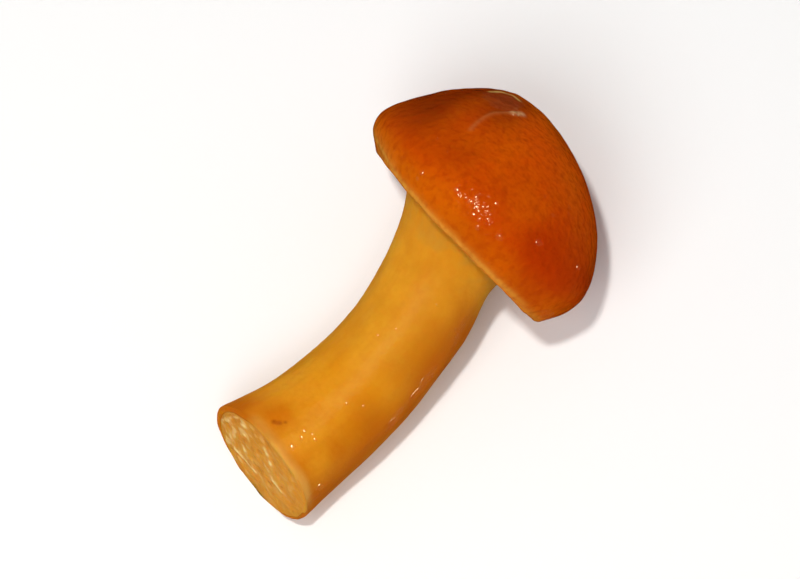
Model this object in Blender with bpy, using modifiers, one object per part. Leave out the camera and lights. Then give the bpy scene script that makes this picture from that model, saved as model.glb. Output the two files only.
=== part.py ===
"""One nameko mushroom, cooked and lying on its side as it was cut.

The whole mushroom grew as one piece, so it is one solid: a domed cap with an incurved
margin, a ring of gills under it, a waisted stem that bends as it grew, and an oblique
cut at the foot. It is turned upright about +Z first, then shaped by formulas, bent along
its stem, and laid on the floor. Units are metres, +Z is up, the cap points along +X, and
the origin is on the floor, at the centre of the mushroom's box.
"""

import math

import bmesh
import bpy
import numpy as np

MM = 0.001
NAME = "nameko_mushroom"

# Cap. Heights are measured from the plane of its margin, towards the apex.
CAP_RADIUS = 10.5 * MM
CAP_HEIGHT = 11.3 * MM
CAP_WIDEST_AT = 2.9 * MM
CAP_MARGIN_RADIUS = 9.15 * MM
CAP_DOME_POWER = 4.0 / 3.0
CAP_APEX_LEAN = 1.7 * MM
CAP_LEAN_POWER = 5.0
CAP_SLANT = 0.45 * MM
CAP_SWAY = 0.3 * MM
CAP_OFF_STEM = 0.6 * MM
CAP_HEADING = math.radians(-4.3)
CAP_CLIMB = math.radians(14.0)

# Gills. Their edges rise from just inside the margin to the top of the stem.
GILL_COUNT = 48
GILL_DEPTH = 1.25 * MM
GILL_FULLNESS = 0.7
GILL_OUTER_RADIUS = 8.6 * MM
GILL_OUTER_HEIGHT = 0.35 * MM
GILL_INNER_RADIUS = 5.45 * MM
GILL_INNER_HEIGHT = 1.5 * MM

# Stem. Distances are measured along its middle line, from the cut to the margin plane.
STEM_LENGTH = 23.7 * MM
STEM_FOOT_RADIUS = 5.2 * MM
STEM_FOOT_POWER = 1.5
STEM_WAIST_RADIUS = 4.15 * MM
STEM_WAIST_AT = 15.0 * MM
STEM_TOP_RADIUS = 5.2 * MM
STEM_TOP_POWER = 4.0

# The bend of the stem: one Bezier curve from the cut to the margin plane, and how far
# below the cap the stem's sections start to turn to face it.
STEM_CURVE = (
    (0.0 * MM, 0.0 * MM, 0.0 * MM),
    (7.6 * MM, -1.6 * MM, 0.3 * MM),
    (15.2 * MM, -2.3 * MM, 1.9 * MM),
    (22.8 * MM, 1.4 * MM, 4.6 * MM),
)
STEM_TURN = 9.0 * MM

# Cut at the foot: how far its plane leans from square across the stem, and its edge.
CUT_LEAN_SIDE = math.radians(-5.0)
CUT_LEAN_UP = math.radians(14.0)
CUT_FADE = 9.0 * MM
CUT_EDGE = 0.3 * MM

# Unevenness of growth. Each swell is its number of lobes round the axis, its height as a
# share of the radius, where it starts, and how far it turns from the foot to the cap.
CAP_SWELLS = ((2, 0.012, 0.6, 0.0), (3, 0.008, -0.9, 0.0))
STEM_SWELLS = ((2, 0.025, 0.0, 1.9), (3, 0.015, 0.0, 4.0))

# Rest. The height of the cut's centre above the floor. It leaves the cap's side and the
# foot's edge a little below the floor, which presses them flat.
FOOT_HEIGHT = 4.6 * MM

# Fineness of the turned shape: two columns for each gill, and rows for each stretch.
COLUMNS = 2 * GILL_COUNT
DOME_ROWS = 14
SIDE_ROWS = 4
GILL_ROWS = 6
STEM_ROWS = 14
CUT_ROWS = 3
MERGE = 1e-6
SHARP_ANGLE = math.radians(35.0)

# Colours, as linear RGB, and how rough each wet surface is.
CAP_COLOUR = (0.50, 0.075, 0.004, 1.0)
CAP_ROUGHNESS = 0.2
GILL_COLOUR = (0.50, 0.20, 0.04, 1.0)
GILL_ROUGHNESS = 0.45
STEM_COLOUR = (0.72, 0.28, 0.025, 1.0)
STEM_ROUGHNESS = 0.28
CUT_COLOUR = (0.74, 0.40, 0.10, 1.0)
CUT_ROUGHNESS = 0.35


def clear_scene():
    """Remove every object that the file opened with."""
    for thing in list(bpy.data.objects):
        bpy.data.objects.remove(thing, do_unlink=True)


def new_material(name, colour, roughness):
    """Return a Principled material of one colour."""
    material = bpy.data.materials.new(name)
    material.use_nodes = True
    shader = material.node_tree.nodes["Principled BSDF"]
    shader.inputs["Base Color"].default_value = colour
    shader.inputs["Roughness"].default_value = roughness
    shader.inputs["Metallic"].default_value = 0.0
    material.diffuse_color = colour
    return material


def smooth_step(t):
    """Return 0 below 0 and 1 above 1, with an even S between them."""
    t = np.clip(t, 0.0, 1.0)
    return t * t * (3.0 - 2.0 * t)


def stem_radius(distance):
    """Return the stem's radius: a swollen foot, a waist, and a flare up to the gills."""
    below = max(0.0, 1.0 - distance / STEM_WAIST_AT)
    above = max(0.0, (distance - STEM_WAIST_AT) / (STEM_LENGTH - STEM_WAIST_AT))
    radius = STEM_WAIST_RADIUS
    radius += (STEM_FOOT_RADIUS - STEM_WAIST_RADIUS) * below ** STEM_FOOT_POWER
    radius += (STEM_TOP_RADIUS - STEM_WAIST_RADIUS) * above ** STEM_TOP_POWER
    return radius


def cap_profile():
    """Return the cap's outside from the apex to the margin, as radius and height."""
    points = []
    for row in range(DOME_ROWS + 1):
        turn = 0.5 * math.pi * row / DOME_ROWS
        rise = max(0.0, math.cos(turn)) ** CAP_DOME_POWER
        height = CAP_WIDEST_AT + (CAP_HEIGHT - CAP_WIDEST_AT) * rise
        points.append((CAP_RADIUS * math.sin(turn), height))
    for row in range(1, SIDE_ROWS + 1):
        down = row / SIDE_ROWS
        radius = CAP_RADIUS - (CAP_RADIUS - CAP_MARGIN_RADIUS) * down ** 2
        points.append((radius, CAP_WIDEST_AT * (1.0 - down)))
    return points


def gill_profile():
    """Return the line of the gills' edges from the margin in to the stem."""
    points = []
    for row in range(GILL_ROWS + 1):
        inward = row / GILL_ROWS
        radius = GILL_OUTER_RADIUS + (GILL_INNER_RADIUS - GILL_OUTER_RADIUS) * inward
        rise = math.sin(0.5 * math.pi * inward)
        height = GILL_OUTER_HEIGHT + (GILL_INNER_HEIGHT - GILL_OUTER_HEIGHT) * rise
        points.append((radius, height))
    return points


def stem_profile():
    """Return the stem's side from the margin plane down to the rounded edge of the cut."""
    points = []
    for row in range(STEM_ROWS + 1):
        distance = STEM_LENGTH + (CUT_EDGE - STEM_LENGTH) * row / STEM_ROWS
        points.append((stem_radius(distance), distance - STEM_LENGTH))
    return points


def cut_profile():
    """Return the cut face from its edge to its centre."""
    rim = STEM_FOOT_RADIUS - CUT_EDGE
    points = []
    for row in range(CUT_ROWS + 1):
        points.append((rim * (1.0 - row / CUT_ROWS), -STEM_LENGTH))
    return points


def turned_mushroom(collection):
    """Return the upright mushroom, turned from its half outline about +Z."""
    outline = cap_profile() + gill_profile() + stem_profile() + cut_profile()
    corners = [(radius, 0.0, STEM_LENGTH + height) for radius, height in outline]
    lines = [(index, index + 1) for index in range(len(corners) - 1)]
    mesh = bpy.data.meshes.new("half_outline")
    mesh.from_pydata(corners, lines, [])
    turned = bpy.data.objects.new("half_outline", mesh)
    collection.objects.link(turned)
    screw = turned.modifiers.new("turn", "SCREW")
    screw.axis = "Z"
    screw.angle = 2.0 * math.pi
    screw.steps = COLUMNS
    screw.render_steps = COLUMNS
    screw.use_merge_vertices = True
    screw.merge_threshold = MERGE
    bpy.context.view_layer.update()
    whole = bpy.data.meshes.new_from_object(turned.evaluated_get(bpy.context.evaluated_depsgraph_get()))
    bpy.data.objects.remove(turned)
    whole.name = NAME
    mushroom = bpy.data.objects.new(NAME, whole)
    collection.objects.link(mushroom)
    return mushroom


def gill_share(radius, height):
    """Return 0 off the gills and up to 1 halfway between the margin and the stem."""
    inward = (GILL_OUTER_RADIUS - radius) / (GILL_OUTER_RADIUS - GILL_INNER_RADIUS)
    below_dome = np.abs(height) < CAP_WIDEST_AT
    between = (inward > 0.0) & (inward < 1.0) & below_dome
    return np.where(between, np.sin(math.pi * np.clip(inward, 0.0, 1.0)) ** GILL_FULLNESS, 0.0)


def raise_gills(points):
    """Sink the valley between each pair of gills into the cap."""
    radius = np.hypot(points[:, 0], points[:, 1])
    turn = np.arctan2(points[:, 1], points[:, 0])
    valley = 0.5 - 0.5 * np.cos(GILL_COUNT * turn)
    share = gill_share(radius, points[:, 2] - STEM_LENGTH)
    points[:, 2] += GILL_DEPTH * share * valley


def swell(turn, share_up, swells):
    """Return the sum of a few lobes round the axis, which may wind up the stem."""
    total = np.zeros_like(turn)
    for lobes, size, start, winding in swells:
        total += size * np.cos(lobes * turn + start + winding * share_up)
    return total


def grow_unevenly(points):
    """Make cap and stem slightly oval and lobed, and lean the apex and the dome to +X."""
    turn = np.arctan2(points[:, 1], points[:, 0])
    height = points[:, 2] - STEM_LENGTH
    radius = np.hypot(points[:, 0], points[:, 1])
    in_cap = smooth_step(height / GILL_INNER_HEIGHT) * smooth_step(radius / GILL_OUTER_RADIUS)
    share_up = points[:, 2] / STEM_LENGTH
    growth = in_cap * swell(turn, share_up, CAP_SWELLS) + (1.0 - in_cap) * swell(turn, share_up, STEM_SWELLS)
    points[:, :2] *= 1.0 + growth[:, None]
    lift = np.clip(height / CAP_HEIGHT, 0.0, 1.0)
    points[:, 0] += CAP_APEX_LEAN * lift ** CAP_LEAN_POWER
    near_widest = np.sin(math.pi * np.clip(0.5 * height / CAP_WIDEST_AT, 0.0, 1.0))
    skin = radius > GILL_OUTER_RADIUS
    points[:, 2] -= CAP_SLANT * np.cos(turn) * near_widest * skin
    points[:, 0] += CAP_SWAY * near_widest * skin


def set_cap_off_stem(points):
    """Shift the cap sideways on the stem, easing the shift in down the flare."""
    radius = np.hypot(points[:, 0], points[:, 1])
    height = points[:, 2] - STEM_LENGTH
    outside = smooth_step((radius - STEM_WAIST_RADIUS) / (GILL_OUTER_RADIUS - STEM_WAIST_RADIUS))
    above = smooth_step(height / GILL_INNER_HEIGHT)
    near = smooth_step(1.0 + height / CAP_HEIGHT)
    points[:, 0] -= CAP_OFF_STEM * np.maximum(outside * near, above)


def cut_foot(points):
    """Slope the foot to the plane of the cut, and fade the slope out up the stem."""
    fade = 1.0 - smooth_step(points[:, 2] / CUT_FADE)
    slope = points[:, 0] * math.tan(CUT_LEAN_SIDE) + points[:, 1] * math.tan(CUT_LEAN_UP)
    points[:, 2] += slope * fade


def middle_line(steps=240):
    """Return distances up the stem, and the place, heading and climb of its sections."""
    t = np.linspace(0.0, 1.0, steps)[:, None]
    foot, foot_pull, top_pull, top = (np.array(corner) for corner in STEM_CURVE)
    place = (1 - t) ** 3 * foot + 3 * (1 - t) ** 2 * t * foot_pull
    place = place + 3 * (1 - t) * t ** 2 * top_pull + t ** 3 * top
    way = (1 - t) ** 2 * (foot_pull - foot) + 2 * (1 - t) * t * (top_pull - foot_pull)
    way = way + t ** 2 * (top - top_pull)
    strides = np.linalg.norm(np.diff(place, axis=0), axis=1)
    distance = np.concatenate(([0.0], np.cumsum(strides)))
    distance *= STEM_LENGTH / distance[-1]
    heading = np.arctan2(way[:, 1], way[:, 0])
    climb = np.arctan2(way[:, 2], np.hypot(way[:, 0], way[:, 1]))
    facing = smooth_step(1.0 - (STEM_LENGTH - distance) / STEM_TURN)
    heading += (CAP_HEADING - heading) * facing
    climb += (CAP_CLIMB - climb) * facing
    return distance, place, heading, climb


def bend_along_stem(points):
    """Carry each upright level to its place on the middle line, square to its heading."""
    distance, place, heading, climb = middle_line()
    level = np.clip(points[:, 2], 0.0, STEM_LENGTH)
    beyond = points[:, 2] - level
    turn = np.interp(level, distance, heading)
    rise = np.interp(level, distance, climb)
    along = np.stack((np.cos(rise) * np.cos(turn), np.cos(rise) * np.sin(turn), np.sin(rise)), axis=1)
    across = np.stack((-np.sin(turn), np.cos(turn), np.zeros_like(turn)), axis=1)
    upward = np.cross(along, across)
    bent = np.stack([np.interp(level, distance, place[:, axis]) for axis in range(3)], axis=1)
    bent += beyond[:, None] * along
    bent += points[:, :1] * across
    bent += points[:, 1:2] * upward
    points[:] = bent


def lay_on_floor(points):
    """Press the mushroom flat where it meets the floor, and centre it over the origin."""
    points[:, 2] = np.maximum(points[:, 2] + FOOT_HEIGHT, 0.0)
    middle = 0.5 * (points[:, :2].min(axis=0) + points[:, :2].max(axis=0))
    points[:, :2] -= middle


def shape_mushroom(mushroom):
    """Move the turned mesh's corners through every stage of the growth."""
    mesh = mushroom.data
    flat = np.empty(3 * len(mesh.vertices))
    mesh.vertices.foreach_get("co", flat)
    points = flat.reshape(-1, 3)
    raise_gills(points)
    grow_unevenly(points)
    set_cap_off_stem(points)
    cut_foot(points)
    bend_along_stem(points)
    lay_on_floor(points)
    mesh.vertices.foreach_set("co", points.ravel())
    mesh.update()


def zone_of(centre):
    """Return the name of the zone that a face of the upright mushroom lies in."""
    radius = math.hypot(centre.x, centre.y)
    height = centre.z - STEM_LENGTH
    if centre.z < CUT_EDGE:
        return "cut"
    if height < 0.0:
        return "stem"
    if radius < GILL_OUTER_RADIUS and height < CAP_WIDEST_AT:
        return "gills"
    return "cap"


def paint_by_zone(mushroom, zones):
    """Give each face of the upright mushroom the material of its zone."""
    mesh = mushroom.data
    names = list(zones)
    for material in zones.values():
        mesh.materials.append(material)
    for face in mesh.polygons:
        face.material_index = names.index(zone_of(face.center))


def finish_mesh(mushroom):
    """Split the mesh into triangles, face it outwards and shade it smooth."""
    mesh = mushroom.data
    work = bmesh.new()
    work.from_mesh(mesh)
    bmesh.ops.remove_doubles(work, verts=work.verts, dist=MERGE)
    bmesh.ops.triangulate(work, faces=work.faces, quad_method="FIXED")
    bmesh.ops.recalc_face_normals(work, faces=work.faces)
    work.to_mesh(mesh)
    work.free()
    mesh.shade_smooth()
    mesh.set_sharp_from_angle(angle=SHARP_ANGLE)


def build():
    """Make the nameko mushroom in a collection of its own."""
    clear_scene()
    collection = bpy.data.collections.new(NAME)
    bpy.context.scene.collection.children.link(collection)
    zones = {
        "cap": new_material("cap_skin", CAP_COLOUR, CAP_ROUGHNESS),
        "gills": new_material("gills", GILL_COLOUR, GILL_ROUGHNESS),
        "stem": new_material("stem_skin", STEM_COLOUR, STEM_ROUGHNESS),
        "cut": new_material("cut_flesh", CUT_COLOUR, CUT_ROUGHNESS),
    }
    mushroom = turned_mushroom(collection)
    paint_by_zone(mushroom, zones)
    shape_mushroom(mushroom)
    finish_mesh(mushroom)


build()
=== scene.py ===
"""The looks of one cooked nameko mushroom, lying on its side as it was cut.

Every piece is worked out upright first, with the stem standing on its cut foot and the
cap above it, as surfaces of two parameters. Growth then bends it along the stem and lays
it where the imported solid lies. Lengths are metres and turns are radians, except where a
docstring says millimetres or degrees.
"""

from __future__ import annotations

import logging
import math
from dataclasses import dataclass, replace
from enum import Enum

import bpy
import numpy as np
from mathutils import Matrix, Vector


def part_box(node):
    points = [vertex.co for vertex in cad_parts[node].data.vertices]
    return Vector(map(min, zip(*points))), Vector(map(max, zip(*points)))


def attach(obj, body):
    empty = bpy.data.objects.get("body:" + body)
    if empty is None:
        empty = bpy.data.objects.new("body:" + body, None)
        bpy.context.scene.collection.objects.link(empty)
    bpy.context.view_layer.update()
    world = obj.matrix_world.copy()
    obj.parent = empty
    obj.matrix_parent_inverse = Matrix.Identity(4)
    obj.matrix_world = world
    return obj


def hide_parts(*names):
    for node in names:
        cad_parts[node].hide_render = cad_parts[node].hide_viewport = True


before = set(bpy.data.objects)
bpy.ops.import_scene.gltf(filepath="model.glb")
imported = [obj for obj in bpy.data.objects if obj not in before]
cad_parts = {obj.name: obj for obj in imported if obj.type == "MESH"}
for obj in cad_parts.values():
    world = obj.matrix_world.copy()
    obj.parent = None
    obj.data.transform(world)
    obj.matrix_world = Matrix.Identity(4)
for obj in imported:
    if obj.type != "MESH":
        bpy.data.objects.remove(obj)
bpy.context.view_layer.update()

MM = 0.001
TAU = 2.0 * math.pi
NODE = "nameko_mushroom"
BODY = "root"
# Plane waves in the finest ripples, where fewer would show as stripes
FINE_WAVES = 60
# How many times a ripple's usual rate each of its waves may turn
WAVE_RANGE = (0.6, 1.4)
# Steps of a line on a skin for each point that it is given
PATH_STEPS = 16
# Height of the wet relief between a noise of 0 and of 1
WET_HEIGHT = 0.2 * MM

log = logging.getLogger("nameko")
Array = np.ndarray
Colour = tuple[float, float, float]
Faces = list[tuple[int, ...]]
Pairs = tuple[tuple[float, float], ...]
Rows = tuple[tuple[float, ...], ...]
Stops = tuple[tuple[float, Colour], ...]
Socket = bpy.types.NodeSocket


class Slot(Enum):
    """The record's material slots."""

    CAP = "cap_skin"
    STEM = "stem_skin"
    GILLS = "gill_flesh"
    CUT = "cut_flesh"
    SLIME = "slime"


def smooth_step(t: Array) -> Array:
    """Return an even S that is 0 below 0 and 1 above 1: 3 t squared less 2 t cubed."""
    t = np.clip(t, 0.0, 1.0)
    return t * t * (3.0 - 2.0 * t)


def bump(distance: Array, reach: float) -> Array:
    """Return a bell: e to the power of less the square of the distance over the reach."""
    return np.exp(-((distance / reach) ** 2))


def apart(turn: Array, centre: float) -> Array:
    """Return how many degrees each turn lies past a centre in degrees, the short way round."""
    return (np.degrees(turn) - centre + 180.0) % 360.0 - 180.0


def through(points: Pairs, share: Array) -> Array:
    """Return places along a smooth line through a few points.

    The line is a Catmull-Rom spline, whose pull at each point is half the step between
    the points on either side of it.

    Args:
        points: The points that the line passes, as pairs.
        share: How far along the line, from 0 to 1, counted in steps between points.

    Returns:
        The places, as rows of pairs.
    """
    knots = np.array(points, dtype=float)
    padded = np.vstack((2.0 * knots[0] - knots[1], knots, 2.0 * knots[-1] - knots[-2]))
    along = np.clip(share, 0.0, 1.0) * (len(knots) - 1)
    index = np.minimum(along.astype(int), len(knots) - 2)
    t = (along - index)[:, None]
    a, b, c, d = (padded[index + step] for step in range(4))
    line = 2.0 * b + (c - a) * t + (2.0 * a - 5.0 * b + 4.0 * c - d) * t**2
    return 0.5 * (line + (3.0 * b - a - 3.0 * c + d) * t**3)


def nearness(places: Array, path: Array, width: float) -> Array:
    """Return how near each place is to a line: a bell of the distance to its nearest point.

    Args:
        places: The places, with x, y and z last.
        path: Points close together along the line, as rows.
        width: The bell's reach.

    Returns:
        For each place, a number from 0 to 1.
    """
    flat = places.reshape(-1, 3)
    nearest = np.full(len(flat), np.inf)
    for point in path:
        nearest = np.minimum(nearest, np.linalg.norm(flat - point, axis=1))
    return bump(nearest, width).reshape(places.shape[:-1])


@dataclass(frozen=True)
class Ripple:
    """A smooth random field with mean 0, whose spread is its depth.

    The size is the usual width of one swell, and the stretch is how many times longer
    the swells are along z.
    """

    depth: float
    size: float
    seed: int
    stretch: float = 1.0
    waves: int = 28

    def at(self, points: Array) -> Array:
        """Return the field: the sum of cosines of plane waves that cross in all directions.

        Args:
            points: Places, with x, y and z last.

        Returns:
            One number for each place.
        """
        rng = np.random.default_rng(self.seed)
        ways = rng.normal(size=(self.waves, 3))
        ways /= np.linalg.norm(ways, axis=1, keepdims=True)
        ways *= math.pi / self.size * rng.uniform(*WAVE_RANGE, size=(self.waves, 1))
        ways[:, 2] /= self.stretch
        starts = rng.uniform(0.0, TAU, self.waves)
        flat = points.reshape(-1, 3)
        field = np.cos(flat @ ways.T + starts).sum(axis=1) * math.sqrt(2.0 / self.waves)
        return self.depth * field.reshape(points.shape[:-1])


@dataclass(frozen=True)
class Patch:
    """A patch of colour round one side of a skin, in degrees, whose rim a cloud stirs."""

    turn: float
    spread: float
    stirring: float

    def at(self, turn: Array, cloud: Array) -> Array:
        """Return a bell of the degrees from the patch's middle, with the cloud added."""
        return bump(apart(turn, self.turn) / self.spread + self.stirring * cloud, 1.0)


@dataclass(frozen=True)
class Trail:
    """A line of colour on a skin, and how far a speckle breaks it up.

    Its points are turns in degrees and heights in millimetres. Where the solid share
    plus the breaks times the speckle is 1 or more, the line is whole.
    """

    points: Pairs
    width: float
    solid: float = 1.0
    breaks: float = 0.0


class Outline:
    """A line of radii and heights that is turned round the z axis.

    It starts at the axis or at the top, runs down the outside and comes in underneath, so
    that the way outwards is always to the left of the way along it.
    """

    def __init__(self, points: Array) -> None:
        """Measure the line.

        Args:
            points: What it passes, as rows of radius and height.
        """
        strides = np.linalg.norm(np.diff(points, axis=0), axis=1)
        self.along = np.concatenate(([0.0], np.cumsum(strides)))
        self.points = points
        way = np.gradient(points, self.along, axis=0)
        way /= np.linalg.norm(way, axis=1, keepdims=True)
        self.outward = np.stack((-way[:, 1], way[:, 0]), axis=1)

    def skin(self, turn: Array, along: Array) -> tuple[Array, Array]:
        """Return the turned surface: a place and its outward normal for each turn and length.

        The place is radius times the turn's cosine and sine, and height. The normal is the
        line's own normal, turned in the same way.

        Args:
            turn: Angles round the axis.
            along: Lengths along the line, in an array of the same shape.

        Returns:
            The places and the normals, each with x, y and z last.
        """
        radius, height, out, rise = (
            np.interp(along, self.along, column)
            for column in (*self.points.T, *self.outward.T)
        )
        places = np.stack((radius * np.cos(turn), radius * np.sin(turn), height), axis=-1)
        normals = np.stack((out * np.cos(turn), out * np.sin(turn), rise), axis=-1)
        return places, normals

    def length_at(self, height: Array | float) -> Array:
        """Return the length from the line's start to where it first falls to a height."""
        falling = self.points[: int(np.argmin(self.points[:, 1])) + 1, 1]
        return np.interp(-np.asarray(height), -falling, self.along[: len(falling)])

    def path(self, points: Pairs, base: float) -> Array:
        """Return a smooth line on the turned surface.

        Args:
            points: What it passes, as turns in degrees and heights in millimetres.
            base: The height that those heights are measured from.

        Returns:
            Places along it.
        """
        line = through(points, np.linspace(0.0, 1.0, PATH_STEPS * len(points)))
        return self.skin(np.radians(line[:, 0]), self.length_at(base + line[:, 1] * MM))[0]

    def grid(self, columns: int) -> tuple[Array, Array]:
        """Return the turns and the lengths of a grid whose rows are the line's own points."""
        turn = np.arange(columns) * TAU / columns
        return np.meshgrid(turn, self.along)


@dataclass(frozen=True)
class Lobes:
    """Even swellings round the axis, which may wind on the way up the stem."""

    count: int
    size: float
    start: float
    winding: float = 0.0

    def at(self, turn: Array, share_up: Array) -> Array:
        """Return the swelling: the size times a cosine of the turn, start and winding."""
        return self.size * np.cos(self.count * turn + self.start + self.winding * share_up)


@dataclass(frozen=True)
class Growth:
    """How the upright mushroom swells, leans, bends along its stem and lies down.

    Heights are measured from the plane of the cap's margin, towards the apex. The curve
    is the four corners that pull the stem's middle line, from the foot to the cap.
    """

    stem_length: float = 23.7 * MM
    waist_radius: float = 4.15 * MM
    curve: Rows = (
        (0.0 * MM, 0.0 * MM, 0.0 * MM),
        (7.6 * MM, -1.6 * MM, 0.3 * MM),
        (15.2 * MM, -2.3 * MM, 1.9 * MM),
        (22.8 * MM, 1.4 * MM, 4.6 * MM),
    )
    curve_steps: int = 400
    facing_length: float = 9.0 * MM
    cap_heading: float = math.radians(-4.3)
    cap_climb: float = math.radians(14.0)
    cap_height: float = 11.3 * MM
    widest_at: float = 2.9 * MM
    margin_radius: float = 9.15 * MM
    chamber_radius: float = 8.6 * MM
    chamber_height: float = 1.5 * MM
    apex_lean: float = 1.7 * MM
    lean_power: float = 5.0
    slant: float = 0.45 * MM
    sway: float = 0.3 * MM
    off_stem: float = 0.6 * MM
    cap_lobes: tuple[Lobes, ...] = (Lobes(2, 0.012, 0.6), Lobes(3, 0.008, -0.9))
    stem_lobes: tuple[Lobes, ...] = (Lobes(2, 0.025, 0.0, 1.9), Lobes(3, 0.015, 0.0, 4.0))
    cut_lean_side: float = math.radians(-5.0)
    cut_lean_up: float = math.radians(14.0)
    cut_fade: float = 9.0 * MM
    foot_height: float = 4.6 * MM
    shift: tuple[float, float] = (0.0, 0.0)

    def uneven(self, points: Array) -> Array:
        """Return upright points with the lobes, the lean of the dome and the cap's shift.

        The radius grows by the lobes. Towards the apex, x grows with a power of the
        height. Round the widest ring, the skin slants and sways by half a sine wave. All
        that lies outside the stem moves off its middle, and the foot is sheared to the
        slope of its cut.

        Args:
            points: Places on the even mushroom, with x, y and z last.

        Returns:
            The moved places.
        """
        x, y, z = points[..., 0], points[..., 1], points[..., 2]
        turn = np.arctan2(y, x)
        radius = np.hypot(x, y)
        height = z - self.stem_length
        in_cap = smooth_step(height / self.chamber_height) * smooth_step(radius / self.chamber_radius)
        share_up = z / self.stem_length
        cap_growth = sum(lobes.at(turn, share_up) for lobes in self.cap_lobes)
        stem_growth = sum(lobes.at(turn, share_up) for lobes in self.stem_lobes)
        growth = 1.0 + in_cap * cap_growth + (1.0 - in_cap) * stem_growth
        x, y = x * growth, y * growth
        x = x + self.apex_lean * np.clip(height / self.cap_height, 0.0, 1.0) ** self.lean_power
        skin = smooth_step((radius - self.chamber_radius) / (self.margin_radius - self.chamber_radius))
        near_widest = skin * np.sin(math.pi * np.clip(0.5 * height / self.widest_at, 0.0, 1.0))
        z = z - self.slant * np.cos(turn) * near_widest
        x = x + self.sway * near_widest
        radius = np.hypot(x, y)
        height = z - self.stem_length
        outside = smooth_step((radius - self.waist_radius) / (self.chamber_radius - self.waist_radius))
        near = smooth_step(1.0 + height / self.cap_height)
        x = x - self.off_stem * np.maximum(outside * near, smooth_step(height / self.chamber_height))
        fade = 1.0 - smooth_step(z / self.cut_fade)
        z = z + fade * (x * math.tan(self.cut_lean_side) + y * math.tan(self.cut_lean_up))
        return np.stack((x, y, z), axis=-1)

    def middle_line(self) -> tuple[Array, Array, Array, Array]:
        """Return distances up the stem, and the place, heading and climb of its sections.

        The line is one Bezier curve. Its sections stand square to it, and over the last
        stretch below the cap they turn to face along the cap's axis.

        Returns:
            Distances, places as rows, headings and climbs, one of each for each section.
        """
        t = np.linspace(0.0, 1.0, self.curve_steps)[:, None]
        foot, foot_pull, top_pull, top = (np.array(corner) for corner in self.curve)
        place = (1 - t) ** 3 * foot + 3 * (1 - t) ** 2 * t * foot_pull
        place = place + 3 * (1 - t) * t**2 * top_pull + t**3 * top
        way = (1 - t) ** 2 * (foot_pull - foot) + 2 * (1 - t) * t * (top_pull - foot_pull)
        way = way + t**2 * (top - top_pull)
        strides = np.linalg.norm(np.diff(place, axis=0), axis=1)
        distance = np.concatenate(([0.0], np.cumsum(strides)))
        distance *= self.stem_length / distance[-1]
        heading = np.arctan2(way[:, 1], way[:, 0])
        climb = np.arctan2(way[:, 2], np.hypot(way[:, 0], way[:, 1]))
        facing = smooth_step(1.0 - (self.stem_length - distance) / self.facing_length)
        heading = heading + (self.cap_heading - heading) * facing
        climb = climb + (self.cap_climb - climb) * facing
        return distance, place, heading, climb

    def lay(self, points: Array) -> Array:
        """Return upright points where they lie, bent along the stem and flat on the floor.

        A point's level picks the section that carries it. Its x runs across that section
        to the side and its y upwards, and what is above the stem goes straight on.

        Args:
            points: Places on the even upright mushroom, with x, y and z last.

        Returns:
            The places in the frame, in the same shape.
        """
        grown = self.uneven(points).reshape(-1, 3)
        distance, place, heading, climb = self.middle_line()
        level = np.clip(grown[:, 2], 0.0, self.stem_length)
        turn = np.interp(level, distance, heading)
        rise = np.interp(level, distance, climb)
        along = np.stack((np.cos(rise) * np.cos(turn), np.cos(rise) * np.sin(turn), np.sin(rise)), axis=1)
        across = np.stack((-np.sin(turn), np.cos(turn), np.zeros_like(turn)), axis=1)
        upward = np.cross(along, across)
        laid = np.stack([np.interp(level, distance, place[:, axis]) for axis in range(3)], axis=1)
        laid += (grown[:, 2] - level)[:, None] * along
        laid += grown[:, :1] * across + grown[:, 1:2] * upward
        laid[:, 0] += self.shift[0]
        laid[:, 1] += self.shift[1]
        laid[:, 2] = np.maximum(laid[:, 2] + self.foot_height, 0.0)
        return laid.reshape(points.shape)

    def settled(self, outside: Array) -> Growth:
        """Return this growth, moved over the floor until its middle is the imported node's.

        Args:
            outside: The upright mushroom's outside, as rows.

        Returns:
            The shifted growth.
        """
        laid = self.lay(outside)
        low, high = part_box(NODE)
        middle = 0.5 * (laid.min(axis=0) + laid.max(axis=0))
        shift = tuple(0.5 * (low[axis] + high[axis]) - middle[axis] for axis in range(2))
        return replace(self, shift=shift)


def tube_faces(rows: int, columns: int) -> Faces:
    """Return the faces of a closed tube of rings, with a pole past its first and last.

    The rings' corners come first, ring by ring, then the first and the last pole.

    Args:
        rows: The number of rings.
        columns: The number of corners in a ring.

    Returns:
        Quads between the rings, and triangles to the poles.
    """
    corner = np.arange(rows * columns).reshape(rows, columns)
    after = np.roll(corner, -1, axis=1)
    quads = np.stack((corner[:-1], after[:-1], after[1:], corner[1:]), axis=2).reshape(-1, 4)
    first = np.full(columns, rows * columns)
    start = np.stack((first, after[0], corner[0]), axis=1)
    end = np.stack((first + 1, corner[-1], after[-1]), axis=1)
    return [tuple(face) for part in (quads, start, end) for face in part.tolist()]


def signed_volume(points: Array, faces: Faces) -> float:
    """Return the volume inside the faces, below zero if they face inwards.

    It is a sixth of the sum, over all triangles, of one corner times the cross product
    of the other two.

    Args:
        points: The corners, as rows.
        faces: The faces, as tuples of corner numbers.

    Returns:
        The volume.
    """
    triangles = np.array([(f[0], f[i], f[i + 1]) for f in faces for i in range(1, len(f) - 1)])
    a, b, c = (points[triangles[:, i]] for i in range(3))
    return float(np.einsum("ij,ij->i", a, np.cross(b, c)).sum() / 6.0)


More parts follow.
